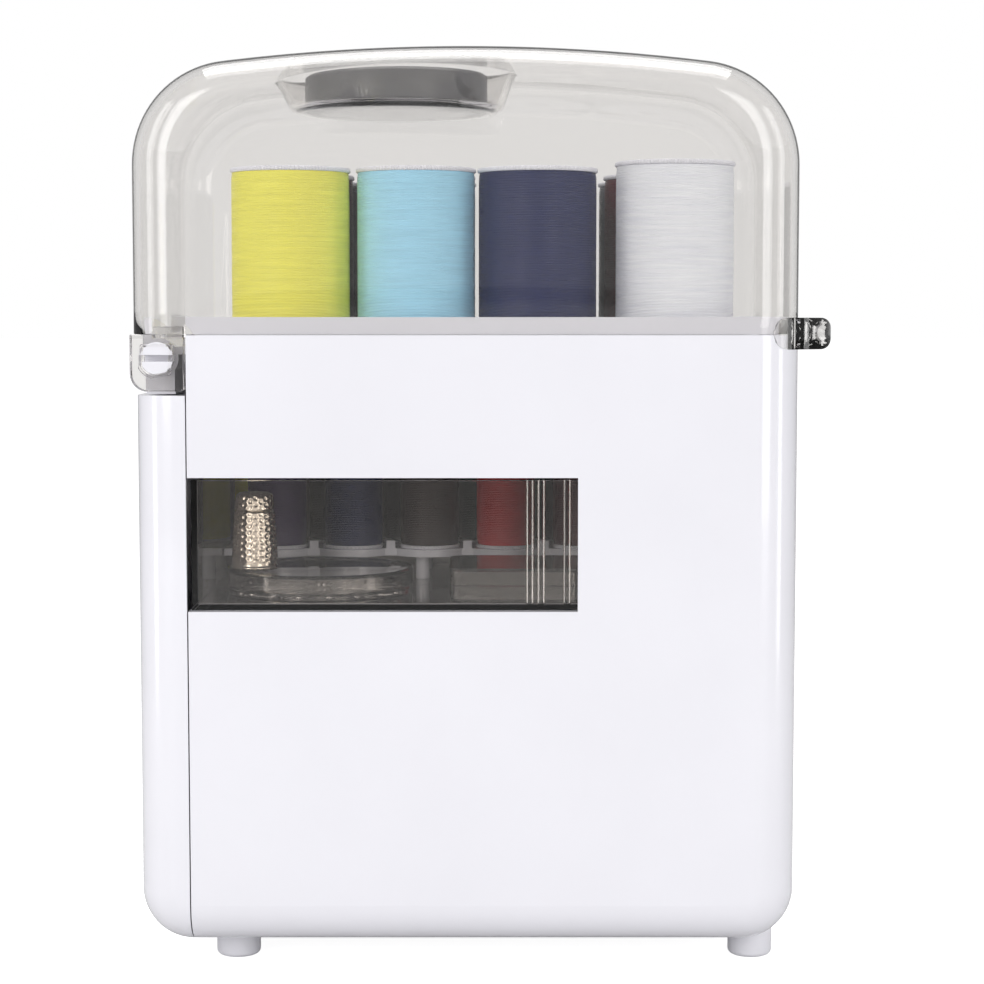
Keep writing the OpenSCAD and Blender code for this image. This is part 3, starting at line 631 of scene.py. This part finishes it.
class SPOOLBOX_OT_lid(bpy.types.Operator):
    """Clear lid with its pocket and its hinge ears, in one moulding, and the thumb tab"""
    bl_idname = "spoolbox.lid"
    bl_label = "Lid"

    def execute(self, context):
        sizes = settings("lid")
        shell = settings("shell")
        low, high = node_size("lid_shell")
        low = low.copy()
        rim = node_size("housing_shell")[1][2]
        low[2] = rim + 0.3 * MM
        lid = self.dome(low, high, sizes, shell)
        ears = self.ears(low, rim, sizes, shell)
        union = lid.modifiers.new("join", "BOOLEAN")
        union.operation, union.solver, union.object, union.use_self = "UNION", "EXACT", ears, True
        graph = bpy.context.evaluated_depsgraph_get()
        mesh = bpy.data.meshes.new_from_object(lid.evaluated_get(graph))
        for helper in (lid, ears):
            bpy.data.objects.remove(helper)
        show("clear_lid", mesh, bpy.data.materials["lid_clear"], "lid", ["lid_shell"])
        self.tab(rim, sizes, shell)
        return {"FINISHED"}

    def dome(self, low, high, sizes, shell):
        """The lid's side view carried over its depth, with a round pocket let into the crown.
        The crown is the circle z = middle + root(crown^2 - x^2), and the shoulders touch it and the walls."""
        half = (high[0] - low[0]) / 2
        x_mid = (high[0] + low[0]) / 2
        crown_z = high[2] - sizes.crown
        run = half - sizes.shoulder
        shoulder_z = crown_z + math.sqrt((sizes.crown - sizes.shoulder) ** 2 - run ** 2)
        tip = math.atan2(shoulder_z - crown_z, run)
        puck_low, puck_high = node_size("puck_case")
        middle = (puck_low + puck_high) / 2
        square = sizes.pocket_mouth + sizes.pocket_fillet + 3 * MM
        across = np.linspace(-square, square, 25)
        touch = sizes.crown * math.cos(tip)
        crown_x = np.concatenate([np.linspace(x_mid - touch, middle[0] - square, 4), middle[0] + across,
                                  np.linspace(middle[0] + square, x_mid + touch, 8)])
        crown_x = np.unique(crown_x.round(9))

        def crown(x):
            return crown_z + np.sqrt(sizes.crown ** 2 - (x - x_mid) ** 2)

        crown_points = np.stack([crown_x, crown(crown_x)], 1)
        crown_inward = (np.array([x_mid, crown_z]) - crown_points) / sizes.crown
        heights = np.linspace(low[2], shoulder_z, 8)
        points, inward = joined([
            line([(low[0], z) for z in heights], (1, 0)),
            arc((x_mid - run, shoulder_z), sizes.shoulder, math.pi, math.pi - tip, 22),
            (crown_points, crown_inward),
            arc((x_mid + run, shoulder_z), sizes.shoulder, tip, 0, 22),
            line([(high[0], z) for z in heights[::-1]], (-1, 0))])
        rise = np.clip((points[:, 1] - shoulder_z) / (high[2] - shoulder_z), 0, 1)
        fillet = shell.corner + (sizes.brow - shell.corner) * rise ** 2 * (3 - 2 * rise)
        surface = rolled(points, inward, fillet, high[1], across, 12)
        side_view = surface[:, surface.shape[1] // 2]
        along, over = side_view[:, 0] - middle[0], surface[len(surface) // 2, :, 1]
        in_x = (along[:-1] > -square - WELD) & (along[1:] < square + WELD)
        in_x &= side_view[:-1, 2] > shoulder_z
        in_y = (over[:-1] > -square - WELD) & (over[1:] < square + WELD)
        sheet = Sheet().grid(surface, ~(in_x[:, None] & in_y))
        for side in (0, -1):
            edge = surface[:, side]
            share = np.linspace(0, 1, len(edge))[:, None]
            foot = edge[0] * (1 - share) + edge[-1] * share
            sheet.grid(between(edge, foot, 6))
        for grid in self.pocket(middle, puck_low[2], square, across, crown, sizes):
            sheet.grid(grid)
        lid = bpy.data.objects.new("lid_dome", sheet.mesh("lid_dome", (x_mid, 0, low[2])))
        bpy.context.scene.collection.objects.link(lid)
        for kind, values in (walls(sizes.wall), edges(0.4 * MM)):
            modifier = lid.modifiers.new(kind, kind)
            for key, value in values.items():
                setattr(modifier, key, value)
        return lid

    def pocket(self, middle, floor, square, across, crown, sizes):
        """Rings from the square hole in the crown to the pocket's round mouth, down its wall and over
        its floor."""
        side = across[:-1]
        edge = np.full(len(side), square)
        outline = np.concatenate([np.stack([edge, side], 1), np.stack([-side, edge], 1),
                                  np.stack([-edge, -side], 1), np.stack([side, -edge], 1)])
        outline = np.concatenate([outline, outline[:1]])
        angles = np.arctan2(outline[:, 1], outline[:, 0])
        round_out = np.stack([np.cos(angles), np.sin(angles)], 1)
        mouth = sizes.pocket_mouth + sizes.pocket_fillet
        share = np.linspace(0, 1, 4)[:, None, None]
        plan = outline * (1 - share) + round_out * mouth * share
        x = middle[0] + plan[..., 0]
        yield np.stack([x, middle[1] + plan[..., 1], crown(x)], -1)
        wall_height = 11 * MM
        lean = math.atan2(sizes.pocket_mouth - sizes.pocket_floor, wall_height)
        turn = np.linspace(0, math.pi / 2 - lean, 7)
        fillet = sizes.pocket_fillet
        radius = np.concatenate([mouth - fillet * np.sin(turn),
                                 sizes.pocket_floor + fillet * (np.sin(turn[::-1]) - 1),
                                 [sizes.pocket_floor * 0.6, 0]])
        deep = np.concatenate([fillet * (1 - np.cos(turn)), -fillet * (1 - np.cos(turn[::-1])), [0, 0]])
        from_top = np.concatenate([np.ones(len(turn)), np.zeros(len(turn) + 2)])
        x = middle[0] + radius[:, None] * round_out[:, 0]
        y = middle[1] + radius[:, None] * round_out[:, 1]
        top = crown(middle[0] + mouth * round_out[:, 0])
        z = np.where(from_top[:, None] > 0, top - deep[:, None], floor - deep[:, None])
        yield np.stack([x, y, z], -1)

    def ears(self, low, rim, sizes, shell):
        """Two ears that hang at the hinge corners: an outline round a bore, with a boss on the outer side,
        and above each a lug in the lid's corner."""
        pin = next(joint for joint in FRAME["joints"] if joint["name"] == "lid_hinge")["pos_m"]
        ear_low, _ = node_size("lid_shell")
        right = sizes.ear_right
        left = ear_low[0] - pin[0]
        top = low[2] - pin[2]
        bottom = ear_low[2] - pin[2]
        outline = rounded_path([(left, bottom), (right, bottom), (right, top), (left, top)],
                               [sizes.ear_corner, 1.5 * MM, 0.6 * MM, 0.6 * MM], 10)
        outline = np.concatenate([outline, outline[:1]])
        angles = np.arctan2(outline[:, 1], outline[:, 0])
        ring = np.stack([np.cos(angles), np.sin(angles)], 1)
        front, back, boss, round_r = sizes.ear_front, sizes.ear_back, sizes.ear_boss_end, sizes.ear_edge
        inset = outline * (1 - round_r / np.linalg.norm(outline, axis=1, keepdims=True))
        loops = [(inset, front), (ring * sizes.ear_boss, front), (ring * sizes.ear_boss, boss - round_r),
                 (ring * (sizes.ear_boss - round_r), boss), (ring * (sizes.ear_bore + round_r), boss),
                 (ring * sizes.ear_bore, boss - round_r), (ring * sizes.ear_bore, back), (inset, back),
                 (outline, back + round_r), (outline, front - round_r), (inset, front)]
        corner = arc((low[0] + shell.corner, shell.corner + ear_low[1]), shell.corner - sizes.wall / 2,
                     1.35 * math.pi, 1.5 * math.pi, 12)[0]
        lug_x = pin[0] + right
        plan = np.concatenate([corner, [(lug_x, corner[-1, 1]), (lug_x, -back), (corner[0, 0], -back)]])
        plan = np.concatenate([plan, plan[:1]])
        sheet = Sheet()
        for side in (-1, 1):
            rings = [np.stack([pin[0] + loop[:, 0], np.full(len(loop), side * y), pin[2] + loop[:, 1]], 1)
                     for loop, y in loops]
            sheet.grid(np.stack(rings))
            lug = [np.stack([plan[:, 0], -side * plan[:, 1], np.full(len(plan), z)], 1)
                   for z in (low[2] - sizes.lug_down, low[2] + sizes.lug_up)]
            hub = [np.tile(wall.mean(0), (len(plan), 1)) for wall in lug]
            sheet.grid(np.stack([hub[0], lug[0], lug[1], hub[1]]))
        ears = bpy.data.objects.new("lid_ears", sheet.mesh("lid_ears"))
        bpy.context.scene.collection.objects.link(ears)
        return ears

    def tab(self, rim, sizes, shell):
        """The thumb tab: a lip round the tab end, between the box's outline and a wider one.
        Its half height h at x falls off along a circle near both ends of its width."""
        low, high = node_size("thumb_tab")
        half = high[1]
        lip = sizes.tab_corner
        gap = 0.05 * MM
        start_x = low[0]
        inner_r = shell.corner + gap
        inner_mid = (node_size("lid_shell")[1][0] - shell.corner, shell.corner - half)
        outer_mid = (high[0] - lip, lip - half)
        first_in = -math.acos((start_x - inner_mid[0]) / inner_r)
        first_out = -math.acos(np.clip((start_x - outer_mid[0]) / lip, -1, 1))
        inner = arc(inner_mid, inner_r, first_in, 0, 25)[0]
        outer = arc(outer_mid, lip, first_out, 0, 25)[0]
        straight = np.linspace(0, 1, 12)[1:-1, None]
        inner = np.concatenate([inner, inner[-1] * (1 - straight) + inner[-1] * (1, -1) * straight,
                                inner[::-1] * (1, -1)])
        outer = np.concatenate([outer, outer[-1] * (1 - straight) + outer[-1] * (1, -1) * straight,
                                outer[::-1] * (1, -1)])
        share = np.sin(np.linspace(0, math.pi / 2, 14))[None, :, None]
        plan = inner[:, None] * (1 - share) + outer[:, None] * share
        height = (high[2] - low[2]) / 2
        round_r = height - 0.2 * MM
        from_end = np.minimum(plan[..., 0] - start_x, high[0] - plan[..., 0]).clip(0, round_r)
        h = height - round_r + np.sqrt(round_r ** 2 - (round_r - from_end) ** 2)
        middle = (high[2] + low[2]) / 2
        top = np.concatenate([plan, (middle + h)[..., None]], -1)
        under = np.concatenate([plan, (middle - h)[..., None]], -1)
        loop = np.concatenate([top, under[:, ::-1], top[:, :1]], 1)
        sheet = Sheet().grid(loop)
        for end in (0, -1):
            sheet.grid(np.stack([top[end], under[end]]))
        show("clear_thumb_tab", sheet.mesh("clear_thumb_tab"), bpy.data.materials["tab_clear"], "lid",
             ["thumb_tab"], [edges(0.7 * MM, 3, 60)])


class SPOOLBOX_OT_inside(bpy.types.Operator):
    """Deck with its pegs, hinge beam, drawer parts and rack, with softened edges"""
    bl_idname = "spoolbox.inside"
    bl_label = "Deck, beam and drawer"

    def execute(self, context):
        white, inner = bpy.data.materials["glossy_white"], bpy.data.materials["satin_white"]
        softened("spool_deck", "peg_deck", white, 0.3 * MM)
        softened("hinge_beam", "hinge_beam_and_apron", white, 0.3 * MM)
        softened("drawer_runners", "runner_strips", inner, 0.3 * MM)
        softened("lower_bin", "bin_body", inner, 0.3 * MM)
        softened("clear_tray", "window_tray", bpy.data.materials["tray_clear"], 0.35 * MM)
        softened("spool_rack", "small_spool_rack", white, 0.3 * MM)
        paint_node("panel_screws", bpy.data.materials["screw_steel"])
        return {"FINISHED"}


class SPOOLBOX_OT_puck(bpy.types.Operator):
    """Magnetic pin puck in the lid's pocket"""
    bl_idname = "spoolbox.puck"
    bl_label = "Pin puck"

    def execute(self, context):
        softened("puck_case", "pin_puck", bpy.data.materials["puck_grey"], 0.5 * MM, 30)
        softened("puck_magnet", "magnet_ring", bpy.data.materials["ferrite"], 0.3 * MM)
        return {"FINISHED"}


class SPOOLBOX_OT_spools(bpy.types.Operator):
    """Large spools on the deck and small ones on the rack, each with a fluted core and its thread"""
    bl_idname = "spoolbox.spools"
    bl_label = "Spools of thread"

    def execute(self, context):
        sizes = settings("spools")
        white = bpy.data.materials["core_white"]
        for number, shade in enumerate(BIG_THREADS, 1):
            nodes = (f"spool_core_{number}", f"spool_thread_{number}")
            low, high = node_size(nodes[0])
            body = BODY_OF[nodes[0]]
            centre = np.array([*(low + high)[:2] / 2, low[2]])
            radius, height = (high[0] - low[0]) / 2, high[2] - low[2]
            core = self.core(radius, height, sizes.flange, sizes.barrel, sizes.bore, centre, sizes.teeth)
            show(f"large_spool_core_{number}", core, white, body, nodes[:1])
            wound = self.winding(radius - sizes.winding_in, height, sizes.flange, sizes.barrel, centre,
                                 sizes.pitch, sizes.relief, 72, number)
            show(f"large_spool_thread_{number}", wound, bpy.data.materials["wound_" + shade], body,
                 nodes[1:], sharp=80)
        for number, shade in enumerate(SMALL_THREADS, 1):
            node = f"mini_spool_{number}"
            body = BODY_OF[node]
            low, high = node_size(node)
            centre = np.array([*(low + high)[:2] / 2, low[2]])
            radius, height = (high[0] - low[0]) / 2, high[2] - low[2]
            core = self.core(radius, height, sizes.small_flange, sizes.small_barrel, sizes.small_bore,
                             centre, 48)
            show(f"small_spool_core_{number}", core, white, body, [node])
            wound = self.winding(radius - sizes.small_winding_in, height, sizes.small_flange,
                                 sizes.small_barrel, centre, sizes.small_pitch,
                                 sizes.relief * sizes.small_relief, 48, number)
            show(f"small_spool_thread_{number}", wound, bpy.data.materials["wound_" + shade], body,
                 [node], sharp=80)
        return {"FINISHED"}

    def core(self, radius, height, flange, barrel, bore, centre, teeth):
        """A bored barrel between two flanges whose edges are fluted: the edge's radius falls by a
        part of a millimetre in every other quarter of a tooth's angle."""
        soft = flange * 0.22
        dish = flange * 0.35
        half = [(bore, height), (bore + 1.2 * MM, height), (barrel * 0.8, height - dish),
                (radius * 0.8, height - dish), (radius * 0.86, height), (radius - soft, height),
                (radius, height - soft), (radius, height - flange + soft),
                (radius - soft, height - flange), (barrel, height - flange)]
        profile = np.array(half + [(r, height - z) for r, z in half[::-1]] + half[:1])
        segments = teeth * 4
        grid_profile = np.repeat(profile[:, None], segments + 1, 1)
        groove = np.tile([0.0, 0.0, 1.0, 1.0], teeth)
        groove = np.append(groove, groove[0])
        at_edge = (profile[:, 0] > radius - soft * 1.5)[:, None]
        grid_profile[..., 0] -= at_edge * groove * 0.22 * MM
        return Sheet().grid(revolve(grid_profile, centre, segments)).mesh("core")

    def winding(self, radius, height, flange, barrel, centre, pitch, relief, segments, seed):
        """Thread wound between the flanges. The radius is the winding's own, less a slow swell, less the
        groove between turns: relief times (1 - |sin(pi (height / pitch - angle / 2 pi))|)."""
        gap = 0.05 * MM
        steps = int((height - 2 * flange) / pitch * 6)
        z = np.linspace(flange + gap, height - flange - gap, steps)[:, None]
        angle = np.linspace(0, 2 * math.pi, segments + 1)[None]
        phase = math.pi * (z / pitch - angle / (2 * math.pi))
        groove = relief * (1 - abs(np.sin(phase)))
        slow = sum(math.sin(seed * k) * np.cos(z / height * 6.3 * k + seed + np.round(k / 2) * angle)
                   for k in (1, 2, 3, 5))
        swell = 0.05 * MM * (1 + slow / 4)
        from_end = np.minimum(z - flange, height - flange - z)
        ends = 0.35 * MM * np.exp(-from_end / (1.2 * MM))
        r = radius - groove - swell - ends
        profile = np.stack([r, np.broadcast_to(z, r.shape)], -1)
        caps = np.full((1, segments + 1, 2), barrel)
        bottom, top = caps.copy(), caps.copy()
        bottom[..., 1], top[..., 1] = z[0, 0], z[-1, 0]
        profile = np.concatenate([top, bottom, profile, top])
        return Sheet().grid(revolve(profile, centre, segments)).mesh("winding")


class SPOOLBOX_OT_notions(bpy.types.Operator):
    """Pin case with its pins, thimble and flat case on the tray's floor"""
    bl_idname = "spoolbox.notions"
    bl_label = "Pin case, thimble and flat case"

    def execute(self, context):
        self.thimble()
        self.pin_case()
        for node, name in (("flat_case_base", "flat_case_bottom"), ("flat_case_lid", "flat_case_top")):
            softened(node, name, bpy.data.materials["case_clear"], 0.25 * MM)
        paint_node("sewing_pins", bpy.data.materials["needle_steel"])
        return {"FINISHED"}

    def thimble(self):
        """A tapered cup with a rolled rim and a ring groove. Its wall is dented by a hexagonal net of
        dimples: the sum of three cosines, a third of a turn apart, over the unrolled surface."""
        low, high = node_size("thimble")
        centre = np.array([*(low + high)[:2] / 2, low[2]])
        rim, height = (high[0] - low[0]) / 2, high[2] - low[2]
        top = rim * 0.77
        dome = 2.2 * MM
        levels = np.linspace(0, height - dome, 110)
        share = levels / levels[-1]
        radius = rim - 0.5 * MM - (rim - 0.5 * MM - top) * (0.35 * share + 0.65 * share ** 2)
        rolled_rim = np.exp(-((levels - 0.6 * MM) / (0.5 * MM)) ** 2) * 0.5 * MM
        ring_z = height * 0.76
        ring = np.exp(-((levels - ring_z) / (0.28 * MM)) ** 2) * 0.35 * MM
        turn = np.linspace(0, math.pi / 2, 22)[1:]
        dome_r = top - dome * (1 - np.cos(turn)) * 0.9
        dome_z = height - dome + dome * np.sin(turn)
        inner_top = np.array([(dome_r[-1] * k, height - 0.5 * MM * (1 - k)) for k in np.linspace(0.9, 0, 10)])
        outer_r = np.concatenate([radius + rolled_rim - ring, dome_r, inner_top[:, 0]])
        outer_z = np.concatenate([levels, dome_z, inner_top[:, 1]])
        segments = 180
        angle = np.linspace(0, 2 * math.pi, segments + 1)[None]
        path = np.concatenate([[0], np.cumsum(np.hypot(np.diff(outer_r), np.diff(outer_z)))])[:, None]
        around = 22
        u = angle * around + 0.5 * np.sin(3 * angle + path / MM)
        v = path / (1.75 * MM) * 2 * math.pi + 0.5 * np.sin(5 * angle)
        dimples = np.cos(u) + np.cos(u / 2 + v * 0.866) + np.cos(u / 2 - v * 0.866)
        r, z = outer_r[:, None], outer_z[:, None]
        worked = np.clip((z - 2.2 * MM) / MM, 0, 1) * np.clip(r / (2 * MM), 0, 1)
        worked = worked * (1 - np.exp(-((z - ring_z) / (0.8 * MM)) ** 2))
        dent = 0.13 * MM
        depth = dent * worked * np.clip(dimples / 1.5, -0.7, 1.2)
        flat_top = z >= height - 0.6 * MM
        r = r - np.where(flat_top, 0, depth)
        z = z - np.where(flat_top, depth + dent, 0)
        inner = [(rim - 1.1 * MM, 0), (rim - 1.1 * MM, 1 * MM), (top - 0.7 * MM, height - 3 * MM),
                 (0, height - 2 * MM)]
        inner = np.repeat(np.array(inner)[::-1, None], segments + 1, 1)
        profile = np.concatenate([np.stack([r, z], -1)[::-1], inner[::-1]])
        mesh = Sheet().grid(revolve(profile, centre, segments)).mesh("thimble")
        show("hammered_thimble", mesh, bpy.data.materials["nickel"], "thimble_cup",
             ["thimble"], sharp=60)

    def pin_case(self):
        """A round case in two halves, each a profile turned about the case's axis."""
        low, high = node_size("pin_case_base")
        top_high = node_size("pin_case_lid")[1]
        split = node_size("pin_case_lid")[0][2] - low[2]
        centre = np.array([*(low + high)[:2] / 2, low[2]])
        r, h = (high[0] - low[0]) / 2, top_high[2] - low[2]
        wall = 1 * MM
        soft = 0.4 * MM
        gap = 0.1 * MM
        collar, collar_top = r - wall - 0.4 * MM, h - wall - 0.35 * MM
        base = [(0, 0), (r - 1.2 * MM, 0), (r - soft, soft), (r, split - 2 * soft), (r - soft, split - gap),
                (r - wall - 0.35 * MM, split - gap), (collar, collar_top), (collar - wall, collar_top),
                (collar - wall, wall), (0, wall)]
        lid = [(0, h - 0.2 * MM), (r - 3.4 * MM, h - 0.2 * MM), (r - 3 * MM, h), (r - soft, h), (r, h - soft),
               (r, split + soft), (r - soft, split), (r - wall, split), (r - wall, h - wall - gap),
               (0, h - wall - gap)]
        case = bpy.data.materials["case_clear"]
        halves = (("pin_case_bottom", base, "pin_case_base"), ("pin_case_cover", lid, "pin_case_lid"))
        for name, profile, node in halves:
            mesh = Sheet().grid(revolve(profile, centre, 120)).mesh(name)
            show(name, mesh, case, BODY_OF[node], [node], sharp=30)


class SPOOLBOX_OT_finishes(bpy.types.Operator):
    """Materials of every piece"""
    bl_idname = "spoolbox.finishes"
    bl_label = "Finishes"

    def execute(self, context):
        colors = settings("colors")
        moulded("glossy_white", colors.white, 0.16, 0.4)
        moulded("satin_white", colors.white, 0.38)
        moulded("foot_white", colors.white, 0.45)
        moulded("core_white", colors.white, 0.3)
        moulded("puck_grey", colors.puck, 0.36)
        clear_plastic("lid_clear", colors.clear, 0.02, 56)
        clear_plastic("tab_clear", colors.clear, 0.02, 3)
        clear_plastic("tray_clear", colors.smoke, 0.02, 40)
        clear_plastic("case_clear", colors.smoke, 0.05, 40)
        metal("needle_steel", colors.steel, 0.2, 0.002)
        metal("screw_steel", colors.steel, 0.35, 0.001)
        metal("nickel", colors.nickel, 0.2, 0.001)
        metal("ferrite", colors.magnet, 0.5, 0.0008)
        for shade in sorted(set(BIG_THREADS + SMALL_THREADS)):
            thread("wound_" + shade, getattr(colors, "white_thread" if shade == "white" else shade))
        return {"FINISHED"}


class SPOOLBOX_OT_stage(bpy.types.Operator):
    """Camera, softboxes, white surround and the floor that takes the shadow"""
    bl_idname = "spoolbox.stage"
    bl_label = "Stage"

    def execute(self, context):
        sizes = settings("stage")
        self.camera(sizes)
        self.surround(sizes)
        self.floor(sizes)
        self.softbox("front_left", (-0.72, -1.15, 0.6), (0.5, 1.0), sizes.front_light)
        self.softbox("front_right", (0.62, -1.2, 0.5), (0.5, 1.0), sizes.front_light * 0.75)
        self.softbox("left_strip", (-0.62, -0.28, 0.3), (0.12, 0.75), sizes.side_light)
        self.softbox("right_strip", (0.66, -0.3, 0.3), (0.14, 0.75), sizes.side_light)
        self.softbox("top", (0.0, 0.1, 1.15), (0.9, 0.7), sizes.top_light)
        context.scene.view_settings.view_transform = "Standard"
        return {"FINISHED"}

    def camera(self, sizes):
        """The camera stands in front of the window side, a little above the rim, and looks down
        a little."""
        low, high = node_size("lid_shell")
        rim = node_size("housing_shell")[1][2]
        data = bpy.data.cameras.new("camera")
        data.lens = sizes.lens
        data.sensor_width = 36
        data.clip_start, data.clip_end = 0.05, 50
        camera = bpy.data.objects.new("camera", data)
        bpy.context.scene.collection.objects.link(camera)
        camera.location = ((low[0] + high[0]) / 2 + sizes.aside, low[1] - sizes.distance,
                           rim + sizes.above_rim)
        camera.rotation_euler = (math.pi / 2 - sizes.tilt, 0, 0)
        bpy.context.scene.camera = camera

    def softbox(self, name, place, size, watts):
        """A rectangular lamp that faces the middle of the box."""
        data = bpy.data.lights.new(name, "AREA")
        data.shape = "RECTANGLE"
        data.size, data.size_y = size
        data.energy = watts
        lamp = bpy.data.objects.new(name, data)
        bpy.context.scene.collection.objects.link(lamp)
        lamp.location = place
        aim = Vector((0, 0, 0.16)) - Vector(place)
        lamp.rotation_euler = aim.to_track_quat("-Z", "Y").to_euler()

    def surround(self, sizes):
        """The world: white where the camera sees it, also through clear plastic, paler in reflections,
        and a soft level as light."""
        world = bpy.data.worlds.new("surround")
        bpy.context.scene.world = world
        world.use_nodes = True
        tree = world.node_tree
        background = tree.nodes["Background"]
        rays = tree.nodes.new("ShaderNodeLightPath")
        seen = tree.nodes.new("ShaderNodeMath")
        seen.operation = "MAXIMUM"
        tree.links.new(rays.outputs["Is Camera Ray"], seen.inputs[0])
        tree.links.new(rays.outputs["Is Transmission Ray"], seen.inputs[1])
        part = tree.nodes.new("ShaderNodeMath")
        part.operation = "MULTIPLY_ADD"
        part.inputs[1].default_value = sizes.mirrored
        tree.links.new(rays.outputs["Is Glossy Ray"], part.inputs[0])
        tree.links.new(seen.outputs[0], part.inputs[2])
        level = tree.nodes.new("ShaderNodeMapRange")
        level.inputs["To Min"].default_value = sizes.surround
        tree.links.new(part.outputs[0], level.inputs["Value"])
        tree.links.new(level.outputs["Result"], background.inputs["Strength"])
        background.inputs["Color"].default_value = (1, 1, 1, 1)

    def floor(self, sizes):
        """A disc whose surface adds a little light of its own for the camera, so that it is white outside
        the box's shadow: height 0, with a rim too far off to be seen."""
        radius = np.array([0.0, 0.3, 0.8, 2.0, 6.0, 20.0])
        profile = np.stack([radius, np.zeros(len(radius))], 1)
        floor = Sheet().grid(revolve(profile, (0, 0, 0), 64)).mesh("floor")
        disc = bpy.data.objects.new("floor", floor)
        bpy.context.scene.collection.objects.link(disc)
        finish = Finish("floor_white", (0.62, 0.62, 0.62), 0.7)
        finish.vary_color(finish.noise(0.5, 2), 0.99, 1.01)
        rays = finish.add("ShaderNodeLightPath")
        seen = finish.add("ShaderNodeMath", operation="MAXIMUM")
        finish.join(rays.outputs["Is Camera Ray"], seen.inputs[0])
        finish.join(rays.outputs["Is Transmission Ray"], seen.inputs[1])
        glow = finish.add("ShaderNodeEmission")
        glow.inputs["Strength"].default_value = sizes.floor_glow
        nothing = finish.add("ShaderNodeEmission")
        nothing.inputs["Strength"].default_value = 0
        mix = finish.add("ShaderNodeMixShader")
        total = finish.add("ShaderNodeAddShader")
        finish.join(seen.outputs[0], mix.inputs["Fac"])
        finish.join(nothing.outputs[0], mix.inputs[1])
        finish.join(glow.outputs[0], mix.inputs[2])
        finish.join(finish.shader.outputs[0], total.inputs[0])
        finish.join(mix.outputs[0], total.inputs[1])
        finish.join(total.outputs[0], finish.output.inputs["Surface"])
        disc.data.materials.append(finish.material)


class SPOOLBOX_PT_panel(bpy.types.Panel):
    """Lists the steps and settings of the spool box"""
    bl_idname = "SPOOLBOX_PT_panel"
    bl_label = "Spool box"
    bl_space_type = "VIEW_3D"
    bl_region_type = "UI"
    bl_category = "Spool Box"

    def draw(self, context):
        for operator in OPERATORS:
            self.layout.operator(operator.bl_idname)
        for name, group in GROUPS.items():
            box = self.layout.box()
            for key in group.__annotations__:
                box.prop(settings(name), key)


GROUPS = {"shell": SpoolBoxShellSizes, "lid": SpoolBoxLidSizes, "spools": SpoolBoxSpoolSizes,
          "colors": SpoolBoxColors, "stage": SpoolBoxStageSettings}
OPERATORS = [SPOOLBOX_OT_finishes, SPOOLBOX_OT_housing, SPOOLBOX_OT_panel, SPOOLBOX_OT_lid,
             SPOOLBOX_OT_inside, SPOOLBOX_OT_puck, SPOOLBOX_OT_spools, SPOOLBOX_OT_notions,
             SPOOLBOX_OT_stage]


def register():
    for group in GROUPS.values():
        bpy.utils.register_class(group)
    for name, group in GROUPS.items():
        setattr(bpy.types.Scene, "spool_box_" + name, PointerProperty(type=group))
    for operator in OPERATORS:
        bpy.utils.register_class(operator)
    bpy.utils.register_class(SPOOLBOX_PT_panel)


def unregister():
    bpy.utils.unregister_class(SPOOLBOX_PT_panel)
    for operator in OPERATORS:
        bpy.utils.unregister_class(operator)
    for name, group in GROUPS.items():
        delattr(bpy.types.Scene, "spool_box_" + name)
        bpy.utils.unregister_class(group)


def main():
    register()
    for name in ("finishes", "housing", "panel", "lid", "inside", "puck", "spools", "notions", "stage"):
        getattr(bpy.ops.spoolbox, name)()


if __name__ == "__main__":
    main()
